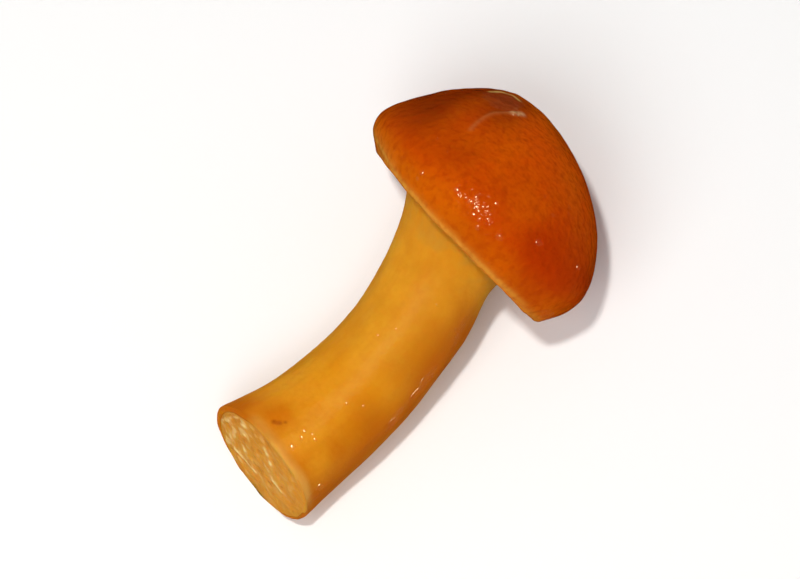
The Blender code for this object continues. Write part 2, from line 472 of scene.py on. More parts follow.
def new_piece(
    name: str, growth: Growth, upright: Array, faces: Faces, masks: dict[str, Array]
) -> bpy.types.Object:
    """Return a smooth mesh object at the origin, whose faces point outwards.

    Args:
        name: The piece's name.
        growth: How it lies.
        upright: Its upright corners, as rows, also kept as the attribute "upright".
        faces: Its faces, as tuples of corner numbers.
        masks: More attributes, one number for each corner.

    Returns:
        The new object.
    """
    places = growth.lay(upright)
    if signed_volume(places, faces) < 0.0:
        faces = [tuple(reversed(face)) for face in faces]
    mesh = bpy.data.meshes.new(name)
    mesh.from_pydata(places.tolist(), [], faces)
    mesh.attributes.new("upright", "FLOAT_VECTOR", "POINT").data.foreach_set("vector", upright.ravel())
    for key, values in masks.items():
        numbers = np.ascontiguousarray(values.ravel())
        mesh.attributes.new(key, "FLOAT", "POINT").data.foreach_set("value", numbers)
    mesh.shade_smooth()
    piece = bpy.data.objects.new(name, mesh)
    bpy.context.scene.collection.objects.link(piece)
    return piece


def ringed_piece(
    name: str, growth: Growth, grid: Array, masks: dict[str, Array], tip: float = 0.0
) -> bpy.types.Object:
    """Return a piece of one grid of rings, closed by a pole in the middle of each end ring.

    Args:
        name: The piece's name.
        growth: How it lies.
        grid: Its upright corners, as rings by columns by x, y and z.
        masks: Numbers for the same grid. A pole takes the mean of its ring.
        tip: How far the first pole stands above its ring.

    Returns:
        The new object.
    """
    first = grid[0].mean(axis=0) + np.array((0.0, 0.0, tip))
    upright = np.vstack((grid.reshape(-1, 3), first, grid[-1].mean(axis=0)))
    closed = {
        key: np.append(values.ravel(), (values[0].mean(), values[-1].mean()))
        for key, values in masks.items()
    }
    return new_piece(name, growth, upright, tube_faces(*grid.shape[:2]), closed)


@dataclass(frozen=True)
class Tubes:
    """Many small closed tubes of one build.

    The corners are tubes by corners by x, y and z, with each tube's rings first and its
    two poles last.
    """

    corners: Array
    rows: int
    columns: int


def joined(batches: list[Tubes]) -> tuple[Array, Faces]:
    """Return all the tubes as one mesh.

    Args:
        batches: Tubes of one or more builds.

    Returns:
        The corners as rows, and the faces.
    """
    faces: Faces = []
    start = 0
    for batch in batches:
        pattern = tube_faces(batch.rows, batch.columns)
        for tube in batch.corners:
            faces.extend(tuple(start + corner for corner in face) for face in pattern)
            start += len(tube)
    return np.concatenate([batch.corners.reshape(-1, 3) for batch in batches]), faces


def dress(piece: bpy.types.Object, material: bpy.types.Material) -> None:
    """Give a piece its material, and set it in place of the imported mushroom.

    Args:
        piece: The piece.
        material: What it is dressed in.
    """
    piece.data.materials.append(material)
    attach(piece, BODY)
    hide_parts(NODE)
    log.info("%s: %d faces", piece.name, len(piece.data.polygons))


@dataclass
class Turned:
    """A skin turned round the upright axis, with relief on it, that drops can sit on."""

    growth: Growth

    def __post_init__(self) -> None:
        """Join the stretches of the outline."""
        self.outline = Outline(np.vstack(self.stretches()))

    def stretches(self) -> tuple[Array, ...]:
        """Return the stretches of the outline in their order, as rows of radius and level."""
        raise NotImplementedError

    def base(self) -> float:
        """Return the level that the skin's heights are measured from."""
        return 0.0

    def relief(self, places: Array) -> Array:
        """Return how far the skin stands out of the turned outline at each place."""
        raise NotImplementedError

    def skin(self, turn: Array, along: Array) -> tuple[Array, Array]:
        """Return the turned outline, moved along its normals by the relief.

        Args:
            turn: Angles round the axis.
            along: Lengths along the outline, in an array of the same shape.

        Returns:
            The places and the outline's normals, each with x, y and z last.
        """
        places, normals = self.outline.skin(turn, along)
        return places + normals * self.relief(places)[..., None], normals

    def down_to(self, height: float) -> float:
        """Return the length down the outline at a height, both in millimetres."""
        return float(self.outline.length_at(self.base() + height * MM)) / MM


@dataclass
class Cap(Turned):
    """The domed cap: its skin, the rolled margin, and the flesh roof over the gills.

    Its outline runs down the dome, round the margin and up the inside to the middle.
    Turns of its patches and of the ends of the margin's painted highlight are degrees. Along the seen
    part of the margin, a pale line painted as a highlight runs broad at its start and fades out at both
    ends; a thin pale rim of the skin's own runs all round. The brown patch is in part painted shade, and
    the bright line near the apex and the glint spot at the fold's end are painted highlights.
    """

    radius: float = 10.5 * MM
    dome_power: float = 4.0 / 3.0
    side_share: float = 0.9
    under: Pairs = (
        (9.407 * MM, 0.29 * MM),
        (9.25 * MM, 0.1 * MM),
        (9.02 * MM, 0.0 * MM),
        (8.82 * MM, 0.1 * MM),
        (8.68 * MM, 0.5 * MM),
        (8.4 * MM, 1.15 * MM),
        (7.8 * MM, 1.9 * MM),
        (6.9 * MM, 2.35 * MM),
        (5.6 * MM, 2.55 * MM),
        (3.0 * MM, 2.6 * MM),
    )
    columns: int = 420
    dome_rows: int = 104
    side_rows: int = 36
    under_rows: int = 34
    apex_tip: float = 0.01 * MM
    layers: tuple[Ripple, ...] = (
        Ripple(0.07 * MM, 5.0 * MM, 11),
        Ripple(0.012 * MM, 1.5 * MM, 12),
        Ripple(0.0075 * MM, 0.62 * MM, 14, waves=FINE_WAVES),
    )
    pucker: Ripple = Ripple(0.012 * MM, 1.6 * MM, 13, stretch=4.0)
    pucker_reach: float = 1.2 * MM
    cloud: Ripple = Ripple(1.0, 3.0 * MM, 15)
    speckle: Ripple = Ripple(1.0, 0.7 * MM, 16)
    widest_share: float = 0.72
    plain_apex: float = 4.5 * MM
    # Darker brown over one side: partly the skin's own brown, partly painted shade
    brown: Patch = Patch(36.0, 31.0, 0.18)
    brown_from: float = 1.3 * MM
    brown_rise: float = 5.0 * MM
    red: Patch = Patch(145.0, 40.0, 0.2)
    red_height: float = 4.0 * MM
    red_reach: float = 4.2 * MM
    fold: Trail = Trail(((65.0, 6.7), (62.0, 7.6), (59.5, 8.6), (61.5, 9.3), (65.5, 9.95)), 0.2 * MM)
    fold_height: float = 0.07 * MM
    # Painted highlight: a bright line near the apex, along the slime's edge
    painted_gleam: Trail = Trail(
        ((28.5, 9.5), (27.5, 9.9), (27.5, 10.25), (31.0, 10.55), (41.0, 10.68)), 0.17 * MM, 0.7, 0.6
    )
    # Painted highlight: a glint spot at the fold's end
    painted_glint: Trail = Trail(((63.0, 9.8), (66.0, 10.1), (69.0, 10.3)), 0.26 * MM, 0.8, 0.4)
    # Painted highlight along the seen edge of the margin, with its broad start below
    pale_lip_and_highlight: Trail = Trail(
        (
            (-12.0, 2.2), (0.0, 1.95), (10.0, 1.6), (17.0, 1.2), (38.0, 0.7), (52.0, 0.35), (66.0, 0.2),
            (86.0, 0.15), (102.0, 0.15), (118.0, 0.2), (135.0, 0.25), (150.0, 0.35), (170.0, 0.3),
        ),
        0.32 * MM,
    )
    broad_lip: Trail = Trail(pale_lip_and_highlight.points[:6], 0.75 * MM)
    broad_lip_strength: float = 0.5
    lip_start: float = -12.0
    lip_fade_in: float = 22.0
    lip_end: float = 168.0
    lip_fade_out: float = 40.0
    rim_height: float = 0.1 * MM
    rim_reach: float = 0.4 * MM
    rim_strength: float = 0.6

    def stretches(self) -> tuple[Array, ...]:
        """Return the dome, the side and the inside."""
        return self.dome(), self.side(), self.inside()

    def base(self) -> float:
        """Return the level of the margin's plane."""
        return self.growth.stem_length

    def dome(self) -> Array:
        """Return the dome, whose radius is a sine and whose height is a power of the cosine.

        Returns:
            Rows of radius and level, from beside the apex down to the widest ring.
        """
        turn = np.linspace(0.0, 0.5 * math.pi, self.dome_rows + 1)[1:]
        rise = np.maximum(np.cos(turn), 0.0) ** self.dome_power
        height = self.growth.widest_at + (self.growth.cap_height - self.growth.widest_at) * rise
        return np.stack((self.radius * np.sin(turn), self.base() + height), axis=1)

    def side(self) -> Array:
        """Return the side, which runs in to the lip on a parabola.

        Returns:
            Rows of radius and level, from below the widest ring down.
        """
        down = np.linspace(0.0, self.side_share, self.side_rows + 1)[1:]
        radius = self.radius - (self.radius - self.growth.margin_radius) * down**2
        return np.stack((radius, self.base() + self.growth.widest_at * (1.0 - down)), axis=1)

    def inside(self) -> Array:
        """Return radius and level round the lip and up over the gills, on a smooth line."""
        line = through(self.under, np.linspace(0.0, 1.0, self.under_rows + 1)[1:])
        return line + np.array((0.0, self.base()))

    def outside(self) -> Array:
        """Return the upright dome and side without relief, as rows."""
        shell = Outline(np.vstack((self.dome(), self.side())))
        return shell.skin(*shell.grid(self.columns))[0].reshape(-1, 3)

    def near(self, places: Array, trail: Trail) -> Array:
        """Return how near each place is to a trail, from 0 to 1."""
        return nearness(places, self.outline.path(trail.points, self.base()), trail.width)

    def relief(self, places: Array) -> Array:
        """Return the relief: swells, dimples and grain, puckers at the margin, and the fold.

        All but the fold are ripples, and the puckers fade with a bell of the height.

        Args:
            places: Places on the turned outline, with x, y and z last.

        Returns:
            How far each one stands out.
        """
        pucker = self.pucker.at(places) * bump(places[..., 2] - self.base(), self.pucker_reach)
        fold = self.fold_height * self.near(places, self.fold)
        return sum(layer.at(places) for layer in self.layers) + pucker + fold

    def lip_and_highlight_mask(self, places: Array, turn: Array) -> Array:
        """Return the margin's edge: a painted highlight along the part that is seen, its broad start, and
        a thin pale rim all round, which is the skin's own.

        Args:
            places: Places on the turned outline.
            turn: Their angles.

        Returns:
            For each place, a number from 0 to 1.
        """
        ends = smooth_step(apart(turn, self.lip_start) / self.lip_fade_in)
        ends = ends * smooth_step(apart(-turn, -self.lip_end) / self.lip_fade_out)
        broad = self.broad_lip_strength * self.near(places, self.broad_lip)
        rim = bump(places[..., 2] - self.base() - self.rim_height, self.rim_reach)
        seen = np.maximum(self.near(places, self.pale_lip_and_highlight), broad) * ends
        return np.maximum(seen, self.rim_strength * rim)

    def masks(self, turn: Array, along: Array) -> dict[str, Array]:
        """Return what the finish reads: the way down, the inside, patches, the pale margin edge with its
        painted highlight, and trails, some of them painted highlights.

        A patch is a bell of the turn and an S or a bell of the height. A trail is how
        near its line is, broken up by the speckle.

        Args:
            turn: Angles round the axis.
            along: Lengths along the outline, in an array of the same shape.

        Returns:
            For each mask, a number from 0 to 1 for each place.
        """
        places = self.outline.skin(turn, along)[0]
        height = places[..., 2] - self.base()
        widest, margin = self.marks()
        off_apex = smooth_step(np.hypot(places[..., 0], places[..., 1]) / self.plain_apex)
        cloud, speckle = self.cloud.at(places), self.speckle.at(places)
        brown = self.brown.at(turn, cloud) * smooth_step((height - self.brown_from) / self.brown_rise)
        red = self.red.at(turn, cloud) * bump(height - self.red_height, self.red_reach)
        masks = {
            "down": np.interp(along, (0.0, widest, margin), (0.0, self.widest_share, 1.0)),
            "inside": np.interp(along, (margin, self.outline.along[-1]), (0.0, 1.0)),
            "brown": brown * off_apex,
            "red": red * off_apex,
            "pale_lip_and_highlight": self.lip_and_highlight_mask(places, turn),
        }
        for key, trail in (("fold", self.fold), ("painted_gleam", self.painted_gleam), ("painted_glint", self.painted_glint)):
            masks[key] = self.near(places, trail) * smooth_step(trail.solid + trail.breaks * speckle)
        return masks

    def marks(self) -> tuple[float, float]:
        """Return the lengths along the outline at the widest ring and at the margin."""
        rows = (self.dome_rows - 1, self.dome_rows + self.side_rows - 1)
        return tuple(float(self.outline.along[row]) for row in rows)

    def make(self, material: bpy.types.Material) -> bpy.types.Object:
        """Return the cap as one closed piece.

        Args:
            material: What it is dressed in.

        Returns:
            The piece.
        """
        turn, along = self.outline.grid(self.columns)
        grid = self.skin(turn, along)[0]
        piece = ringed_piece("cap", self.growth, grid, self.masks(turn, along), self.apex_tip)
        dress(piece, material)
        return piece


@dataclass
class Gills:
    """The ring of thin blades under the cap, long and short by turns.

    A blade hangs from the roof down to the line of the gills' edges. Its section at any
    radius is a narrow loop that tapers to the edge, and its run wavers sideways. The
    order has each blade's place between two full ones and its reach inwards, as shares,
    and the section has pairs of half-thicknesses across and shares of the way down.
    """

    growth: Growth
    cap: Cap
    full_count: int = 64
    order: Pairs = ((0.0, 1.0), (0.25, 0.3), (0.5, 0.58), (0.75, 0.3))
    place_range: tuple[float, float] = (-0.045, 0.045)
    reach_range: tuple[float, float] = (0.85, 1.15)
    section: Pairs = (
        (-1.0, 0.0), (-1.0, 0.45), (-1.0, 0.85), (0.0, 1.0), (1.0, 0.85), (1.0, 0.45), (1.0, 0.0),
    )
    rows: int = 12
    roof_steps: int = 200
    outer_radius: float = 8.66 * MM
    inner_radius: float = 5.0 * MM
    edge_outer: float = 0.45 * MM
    edge_inner: float = 1.5 * MM
    root_half_width: float = 0.15 * MM
    edge_half_width: float = 0.05 * MM
    sink: float = 0.25 * MM
    rim_start: float = 0.25
    rim_rise: float = 9.0
    waver: float = 0.1 * MM
    waver_rate: float = 5.0
    seed: int = 21

    def runs(self) -> Array:
        """Return where the blades stand, a little out of even order.

        Returns:
            Rows of angle and reach inwards, as a share of the ring.
        """
        rng = np.random.default_rng(self.seed)
        blades = []
        for index in range(self.full_count):
            for offset, reach in self.order:
                angle = (index + offset + rng.uniform(*self.place_range)) * TAU / self.full_count
                reach = min(1.0, reach * rng.uniform(*self.reach_range)) if reach < 1.0 else 1.0
                blades.append((angle, reach))
        return np.array(blades)

    def roof(self, radius: Array) -> Array:
        """Return the height of the cap's roof at a radius."""
        line = through(self.cap.under, np.linspace(0.0, 1.0, self.roof_steps))[::-1]
        return np.interp(radius, line[:, 0], line[:, 1])

    def edge(self, radius: Array) -> Array:
        """Return the height of the gills' edges, a quarter sine from margin to stem."""
        inward = np.clip((self.outer_radius - radius) / (self.outer_radius - self.inner_radius), 0.0, 1.0)
        return self.edge_outer + (self.edge_inner - self.edge_outer) * np.sin(0.5 * math.pi * inward)

    def blades(self) -> tuple[Array, Array]:
        """Return the upright blades and how far down its section each corner is.

        A corner's height is the roof's, less its share of the blade's depth. It stands
        beside the blade's run by its share of the thickness and by the waver, a sine.
        The depth grows in with an S at the rim, and short blades grow shallow inwards
        with the cube of the way along them.

        Returns:
            Corners as blades by rows by columns by x, y and z, and shares for the same.
        """
        runs = self.runs()
        rng = np.random.default_rng(self.seed + 1)
        along = np.linspace(0.0, 1.0, self.rows)[None, :, None]
        angle, reach = runs[:, 0, None, None], runs[:, 1, None, None]
        across, drop = np.array(self.section).T[:, None, None, :]
        radius = self.outer_radius - (self.outer_radius - self.inner_radius) * reach * along
        roof, edge = self.roof(radius), self.edge(radius)
        depth = (roof - edge) * np.where(reach < 1.0, (1.0 - along**3), 1.0)
        depth = depth * smooth_step(along * self.rim_rise + self.rim_start)
        thinning = 1.0 - self.edge_half_width / self.root_half_width
        side = across * self.root_half_width * (1.0 - thinning * drop)
        phase = rng.uniform(0.0, TAU, (len(runs), 1, 1))
        swing = self.waver * np.sin(self.waver_rate * along + phase) * np.sin(math.pi * along) * drop
        height = roof + self.sink - (depth + self.sink) * drop
        turn = angle + (side + swing) / radius
        x, y = radius * np.cos(turn), radius * np.sin(turn)
        grid = np.stack((x, y, self.growth.stem_length + height), axis=-1)
        return grid, np.broadcast_to(drop, grid.shape[:3])

    def make(self, material: bpy.types.Material) -> bpy.types.Object:
        """Return all the blades as one piece.

        Args:
            material: What they are dressed in.

        Returns:
            The piece.
        """
        grid, drop = self.blades()
        count, rows, columns = drop.shape
        ends = np.stack((grid[:, 0].mean(axis=1), grid[:, -1].mean(axis=1)), axis=1)
        corners = np.concatenate((grid.reshape(count, -1, 3), ends), axis=1)
        edge = np.concatenate((drop.reshape(count, -1), np.zeros((count, 2))), axis=1)
        upright, faces = joined([Tubes(corners, rows, columns)])
        piece = new_piece("gills", self.growth, upright, faces, {"edge": edge})
        dress(piece, material)
        return piece


@dataclass
class Stem(Turned):
    """The waisted stem's skin, from its neck in the cap down to its edge round the cut.

    Blemishes are rows of turn in degrees, and level and size in millimetres. Behind the
    cut, the outline steps in from the rim and up, and ends at a share of the rim.
    """

    foot_radius: float = 5.2 * MM
    foot_power: float = 1.5
    waist_at: float = 15.0 * MM
    top_radius: float = 5.2 * MM
    top_power: float = 4.0
    neck_radius: float = 5.45 * MM
    top_height: float = 2.9 * MM
    cut_edge: float = 0.3 * MM
    behind_cut: Pairs = ((0.06 * MM, 0.04 * MM), (0.1 * MM, 0.2 * MM), (0.4 * MM, 0.5 * MM))
    inner_share: float = 0.3
    inner_level: float = 0.6 * MM
    columns: int = 320
    rows: int = 220
    edge_rows: int = 8
    measured_columns: int = 360
    layers: tuple[Ripple, ...] = (
        Ripple(0.07 * MM, 3.8 * MM, 31, stretch=1.6),
        Ripple(0.02 * MM, 1.2 * MM, 34, stretch=2.0),
        Ripple(0.007 * MM, 0.5 * MM, 32, stretch=12.0, waves=FINE_WAVES),
        Ripple(0.004 * MM, 0.4 * MM, 33, waves=FINE_WAVES),
    )
    ribs: int = 60
    rib_height: float = 0.03 * MM
    rib_start: float = 1.2 * MM
    rib_length: float = 2.2 * MM
    cloud: Ripple = Ripple(1.0, 2.2 * MM, 35)
    rough_spot: Ripple = Ripple(0.3, 0.4 * MM, 36)
    rough_range: tuple[float, float] = (0.4, 1.6)
    patch: Patch = Patch(48.0, 36.0, 0.2)
    patch_height: float = 3.6 * MM
    patch_stirring: float = 0.15
    # Painted shade: one side of the stem darker orange-brown, fading out below the cap
    shaded_side: Patch = Patch(168.0, 44.0, 0.12)
    shaded_side_top: float = 22.5 * MM
    shaded_side_fade: float = 5.0 * MM
    bare_turn: float = 120.0
    bare_half: float = 54.0
    bare_fade: float = 24.0
    bare_height: float = 1.2 * MM
    bare_rise: float = 0.9 * MM
    bare_stirring: tuple[float, float] = (0.3, 0.2)
    edge_reach: float = 0.5 * MM
    blemishes: Rows = ((80.0, 1.9, 0.24), (75.0, 1.55, 0.2), (82.0, 2.3, 0.16))

    def stretches(self) -> tuple[Array, ...]:
        """Return the side, the edge of the cut and the way in behind it."""
        return self.side(), self.edge(), self.behind()

    def radius(self, level: Array) -> Array:
        """Return the radius: a swollen foot, a waist, a flare, and the neck in the cap.

        The foot and the flare grow with powers of the distance from the waist, and the
        neck grows evenly.

        Args:
            level: Heights above the cut.

        Returns:
            A radius for each.
        """
        length, waist = self.growth.stem_length, self.growth.waist_radius
        below = np.clip(1.0 - level / self.waist_at, 0.0, 1.0)
        above = np.clip((level - self.waist_at) / (length - self.waist_at), 0.0, 1.0)
        neck = np.clip((level - length) / self.growth.chamber_height, 0.0, 1.0)
        radius = waist + (self.foot_radius - waist) * below**self.foot_power
        radius = radius + (self.top_radius - waist) * above**self.top_power
        return radius + (self.neck_radius - self.top_radius) * neck

    def rim(self) -> float:
        """Return the radius where the rounded edge of the cut begins."""
        return float(self.radius(np.array(self.cut_edge)))

    def side(self) -> Array:
        """Return radius and level from the neck down to the rounded edge of the cut."""
        level = np.linspace(self.growth.stem_length + self.top_height, self.cut_edge, self.rows)
        return np.stack((self.radius(level), level), axis=1)

    def edge(self) -> Array:
        """Return the rounded edge of the cut, a quarter circle.

        Returns:
            Rows of radius and level.
        """
        turn = np.linspace(0.0, 0.5 * math.pi, self.edge_rows + 1)[1:]
        radius = self.rim() - self.cut_edge * (1.0 - np.cos(turn))
        return np.stack((radius, self.cut_edge * (1.0 - np.sin(turn))), axis=1)

    def behind(self) -> Array:
        """Return the way in behind the cut face.

        Returns:
            Rows of radius and level.
        """
        rim = self.rim() - self.cut_edge
        steps = [(rim - inward, upward) for inward, upward in self.behind_cut]
        return np.array((*steps, (self.inner_share * rim, self.inner_level)))

    def outside(self) -> Array:
        """Return the upright skin without relief, as rows."""
        return self.outline.skin(*self.outline.grid(self.measured_columns))[0].reshape(-1, 3)

    def relief(self, places: Array) -> Array:
        """Return the relief: lumps, dents and fibres, and ribs that run up to the gills.

        The ribs are a cosine of the turn that grows in with an S towards the cap. The
        rest are ripples.

        Args:
            places: Places on the turned outline, with x, y and z last.

        Returns:
            How far each one stands out.
        """
        turn = np.arctan2(places[..., 1], places[..., 0])
        below_cap = self.growth.stem_length - places[..., 2]
        near_cap = smooth_step(1.0 - (below_cap + self.rib_start) / self.rib_length)
        ribs = self.rib_height * np.cos(self.ribs * turn) * near_cap
        return sum(layer.at(places) for layer in self.layers) + ribs

    def spots(self, places: Array, turn: Array) -> Array:
        """Return the small brown blemishes: the largest of a rough bell round each one.

        Args:
            places: Places on the skin.
            turn: Their angles.

        Returns:
            For each place, a number from 0 to 1.
        """
        rough = np.clip(1.0 + self.rough_spot.at(places), *self.rough_range)
        marked = np.zeros_like(turn)
        for centre, level, size in self.blemishes:
            arc = np.radians(apart(turn, centre)) * self.foot_radius
            off = np.hypot(arc, places[..., 2] - level * MM) * rough
            marked = np.maximum(marked, bump(off, size * MM))
        return marked

    def masks(self, places: Array) -> dict[str, Array]:
        """Return what the finish reads: patches, painted shade down one side, blemishes, and the edge and
        skinless part.

        A patch is a bell of turn and an S or a bell of level, stirred by a cloud.

        Args:
            places: Places on the skin.

        Returns:
            For each mask, a number from 0 to 1 for each place.
        """
        level = places[..., 2]
        turn = np.arctan2(places[..., 1], places[..., 0])
        cloud = self.cloud.at(places)
        round_stir, up_stir = self.bare_stirring
        off_bare = np.abs(np.degrees(turn) - self.bare_turn)
        bare = smooth_step((self.bare_half - off_bare) / self.bare_fade + round_stir * cloud)
        bare = bare * smooth_step((self.bare_height - level) / self.bare_rise + up_stir * cloud)
        low = bump(level / self.patch_height + self.patch_stirring * cloud, 1.0)
        below_top = smooth_step((self.shaded_side_top - level) / self.shaded_side_fade)
        return {
            "patch": self.patch.at(turn, cloud) * low,
            "shaded_side": self.shaded_side.at(turn, cloud) * below_top,
            "spots": self.spots(places, turn),
            "edge": bump(level, self.edge_reach) * (1.0 - bare),
            "bare": bare,
        }

    def make(self, material: bpy.types.Material) -> bpy.types.Object:
        """Return the stem's skin as one closed piece.

        Args:
            material: What it is dressed in.

        Returns:
            The piece.
        """
        grid = self.skin(*self.outline.grid(self.columns))[0]
        piece = ringed_piece("stem", self.growth, grid, self.masks(grid))
        dress(piece, material)
        return piece


@dataclass(frozen=True)
class Stroke:
    """A mark on the cut, from one end to the other, in millimetres across the stem.

    x runs towards the side that the cap leans to, and y upwards. A strength above 0 is pale, as a streak
    or as a painted glint, and one below 0 is brown and sunken.
    """

    x0: float
    y0: float
    x1: float
    y1: float
    width: float
    strength: float

    def at(self, x: Array, y: Array) -> Array:
        """Return the stroke: its strength times a bell of the distance to it.

        Args:
            x: Places across the stem, in metres.
            y: The same, upwards.

        Returns:
            A number for each place.
        """
        start = np.array((self.x0, self.y0)) * MM
        way = np.array((self.x1, self.y1)) * MM - start
        share = ((x - start[0]) * way[0] + (y - start[1]) * way[1]) / (way @ way)
        share = np.clip(share, 0.0, 1.0)
        off = np.hypot(x - start[0] - share * way[0], y - start[1] - share * way[1])
        return self.strength * bump(off, self.width * MM)


@dataclass
class CutFace:
    """The pale flesh of the oblique cut, with the knife's streaks, grains, painted glints and small pits.

    The crowd is the share of grains at the middle of the cut, and how far towards +x
    they have become full. A range is where an S of the grain begins, and its length.
    """

    growth: Growth
    stem: Stem
    rise: float = 0.16 * MM
    under_skin: float = 0.045 * MM
    side_length: float = 0.9 * MM
    inner: Pairs = ((2.0 * MM, 0.1 * MM), (4.0 * MM, 0.05 * MM))
    columns: int = 280
    face_rows: int = 76
    edge_rows: int = 8
    side_rows: int = 6
    waver: Ripple = Ripple(0.06 * MM, 0.8 * MM, 46)
    grain: Ripple = Ripple(1.0, 0.5 * MM, 42, waves=FINE_WAVES)
    fine: Ripple = Ripple(0.3, 0.28 * MM, 48, waves=FINE_WAVES)
    fine_middle: float = 0.75
    crowd: float = 0.3
    crowd_length: float = 3.0 * MM
    pale_range: tuple[float, float] = (0.2, 1.4)
    pale_strength: float = 0.5
    pit_range: tuple[float, float] = (1.0, 1.0)
    pit_strength: float = 0.35
    pale_height: float = 0.025 * MM
    pit_depth: float = 0.05 * MM
    swells: Ripple = Ripple(0.03 * MM, 1.1 * MM, 43)
    crumbs: Ripple = Ripple(0.01 * MM, 0.4 * MM, 47, waves=FINE_WAVES)
    face_share: float = 0.93
    face_fade: float = 12.0
    side_fade: float = 0.3 * MM
    heart_share: float = 0.35
    # The near-dots with strength above 1 are painted glints on the wet flesh; the longer pale strokes are
    # streaks, and those below 0 are pits
    strokes: tuple[Stroke, ...] = tuple(Stroke(*row) for row in (
        (2.75, -2.2, 0.2, -1.85, 0.19, 1.2),
        (-0.35, 0.8, -2.5, -0.35, 0.2, 1.0),
        (-0.05, 2.85, -0.1, 2.75, 0.22, 1.7),
        (0.17, 3.27, 0.12, 3.2, 0.2, 1.5),
        (-0.65, 2.05, -0.7, 1.95, 0.22, 1.6),
        (2.4, 1.55, 2.5, 1.35, 0.22, 1.2),
        (2.75, 3.0, 2.85, 2.8, 0.26, 1.2),
        (1.95, -0.45, 1.9, -0.6, 0.24, 1.6),
        (3.15, -1.5, 3.4, -0.5, 0.26, 0.6),
        (3.95, 0.9, 4.0, 1.1, 0.3, 1.1),
        (4.5, -0.2, 3.5, 3.3, 0.13, 0.7),
        (1.5, -0.9, -1.6, -2.2, 0.16, 0.35),
        (4.25, -0.5, 3.2, 3.2, 0.12, -0.5),
        (4.75, -0.3, 3.8, 3.2, 0.12, -0.6),
        (0.65, -0.55, 0.55, -0.65, 0.17, -0.7),
        (0.0, -0.7, -0.2, -0.85, 0.24, -0.9),
        (-1.2, -0.85, -1.45, -0.95, 0.2, -0.8),
        (-2.4, 0.35, -2.5, 0.2, 0.17, -0.7),
        (2.1, 0.9, 1.8, 0.6, 0.3, -0.4),
    ))

    def fields(self, places: Array) -> tuple[Array, Array]:
        """Return how pale and how pitted the flesh is, from 0 to 1.

        Pale grains are the tops of a ripple, and crowd towards +x. The strokes, streaks and painted
        glints, are laid over them, along lines that waver a little. Of the strokes at a place, the palest
        and the darkest count.

        Args:
            places: Places on the cut.

        Returns:
            How pale and how pitted each one is.
        """
        x, y = places[..., 0], places[..., 1]
        waver = self.waver.at(places)
        drawn = np.array([stroke.at(x + waver, y - waver) for stroke in self.strokes])
        marked = drawn.max(axis=0, initial=0.0) + drawn.min(axis=0, initial=0.0)
        crowd = self.crowd + (1.0 - self.crowd) * smooth_step(x / self.crowd_length)
        grain = self.grain.at(places)
        marked = marked * np.clip(self.fine_middle + self.fine.at(places), 0.0, 1.0)
        (pale_from, pale_over), (pit_from, pit_over) = self.pale_range, self.pit_range
        pale = self.pale_strength * crowd * smooth_step((grain - pale_from) / pale_over)
        pit = self.pit_strength * smooth_step((-grain - pit_from) / pit_over)
        return np.clip(np.maximum(pale, marked), 0.0, 1.0), np.maximum(pit, -marked)

    def outline(self) -> Outline:
        """Return the outline: in behind, down the side under the skin, and in over the face.

        The side follows the stem's radius, the edge is a quarter circle inside the stem's
        own, and the face is flat.

        Returns:
            The outline.
        """
        side = self.side_length
        rim = self.stem.rim() - self.under_skin
        bend = self.stem.cut_edge - self.under_skin
        level = np.linspace(side, self.stem.cut_edge, self.side_rows)
        wall = np.stack((self.stem.radius(level) - self.under_skin, level), axis=1)
        turn = np.linspace(0.0, 0.5 * math.pi, self.edge_rows + 1)[1:]
        level = self.stem.cut_edge - bend * np.sin(turn)
        edge = np.stack((rim - bend * (1.0 - np.cos(turn)), level), axis=1)
        share = np.linspace(1.0, 0.0, self.face_rows + 1)[1:-1]
        face = np.stack(((rim - bend) * share, np.full(len(share), self.under_skin)), axis=1)
        inner = np.array([(radius, side + above) for radius, above in self.inner])
        return Outline(np.vstack((inner, wall, edge, face)))

    def make(self, material: bpy.types.Material) -> bpy.types.Object:
        """Return the flesh as one closed piece.

        The face bulges with one less the square of the share of the radius, and carries
        the grains, pits and crumbs. The side carries the stem's own relief.

        Args:
            material: What it is dressed in.

        Returns:
            The piece.
        """
        outline = self.outline()
        places, normals = outline.skin(*outline.grid(self.columns))
        level = places[..., 2]
        share = np.hypot(places[..., 0], places[..., 1]) / self.stem.foot_radius
        front = level < 0.5 * self.side_length
        on_face = smooth_step((self.face_share - share) * self.face_fade) * front
        pale, pit = self.fields(places)
        relief = self.pale_height * pale - self.pit_depth * pit
        relief = relief + self.swells.at(places) + self.crumbs.at(places)
        bulge = np.where(front, self.rise * np.clip(1.0 - share**2, 0.0, 1.0), 0.0)
        grid = places + normals * (on_face * relief + bulge)[..., None]
        side_relief = self.stem.relief(places) * (1.0 - on_face) * smooth_step(level / self.side_fade)
        grid = grid + normals * side_relief[..., None]
        masks = {
            "pale": on_face * pale,
            "pit": on_face * pit,
            "out": smooth_step((share - self.heart_share) / (1.0 - self.heart_share)),
        }
        piece = ringed_piece("cut_face", self.growth, grid, masks)
        dress(piece, material)
        return piece


@dataclass(frozen=True)
class Drop:
    """A drop or film of slime on a skin: where it sits, its half-lengths and its thickness.

    The turn and the heading are degrees, and the lengths are millimetres. The heading
    turns its long side from up-and-down the skin towards round it.
    """

    turn: float
    along: float
    long: float
    wide: float
    thick: float
    heading: float = 0.0
    ragged: float = 0.1


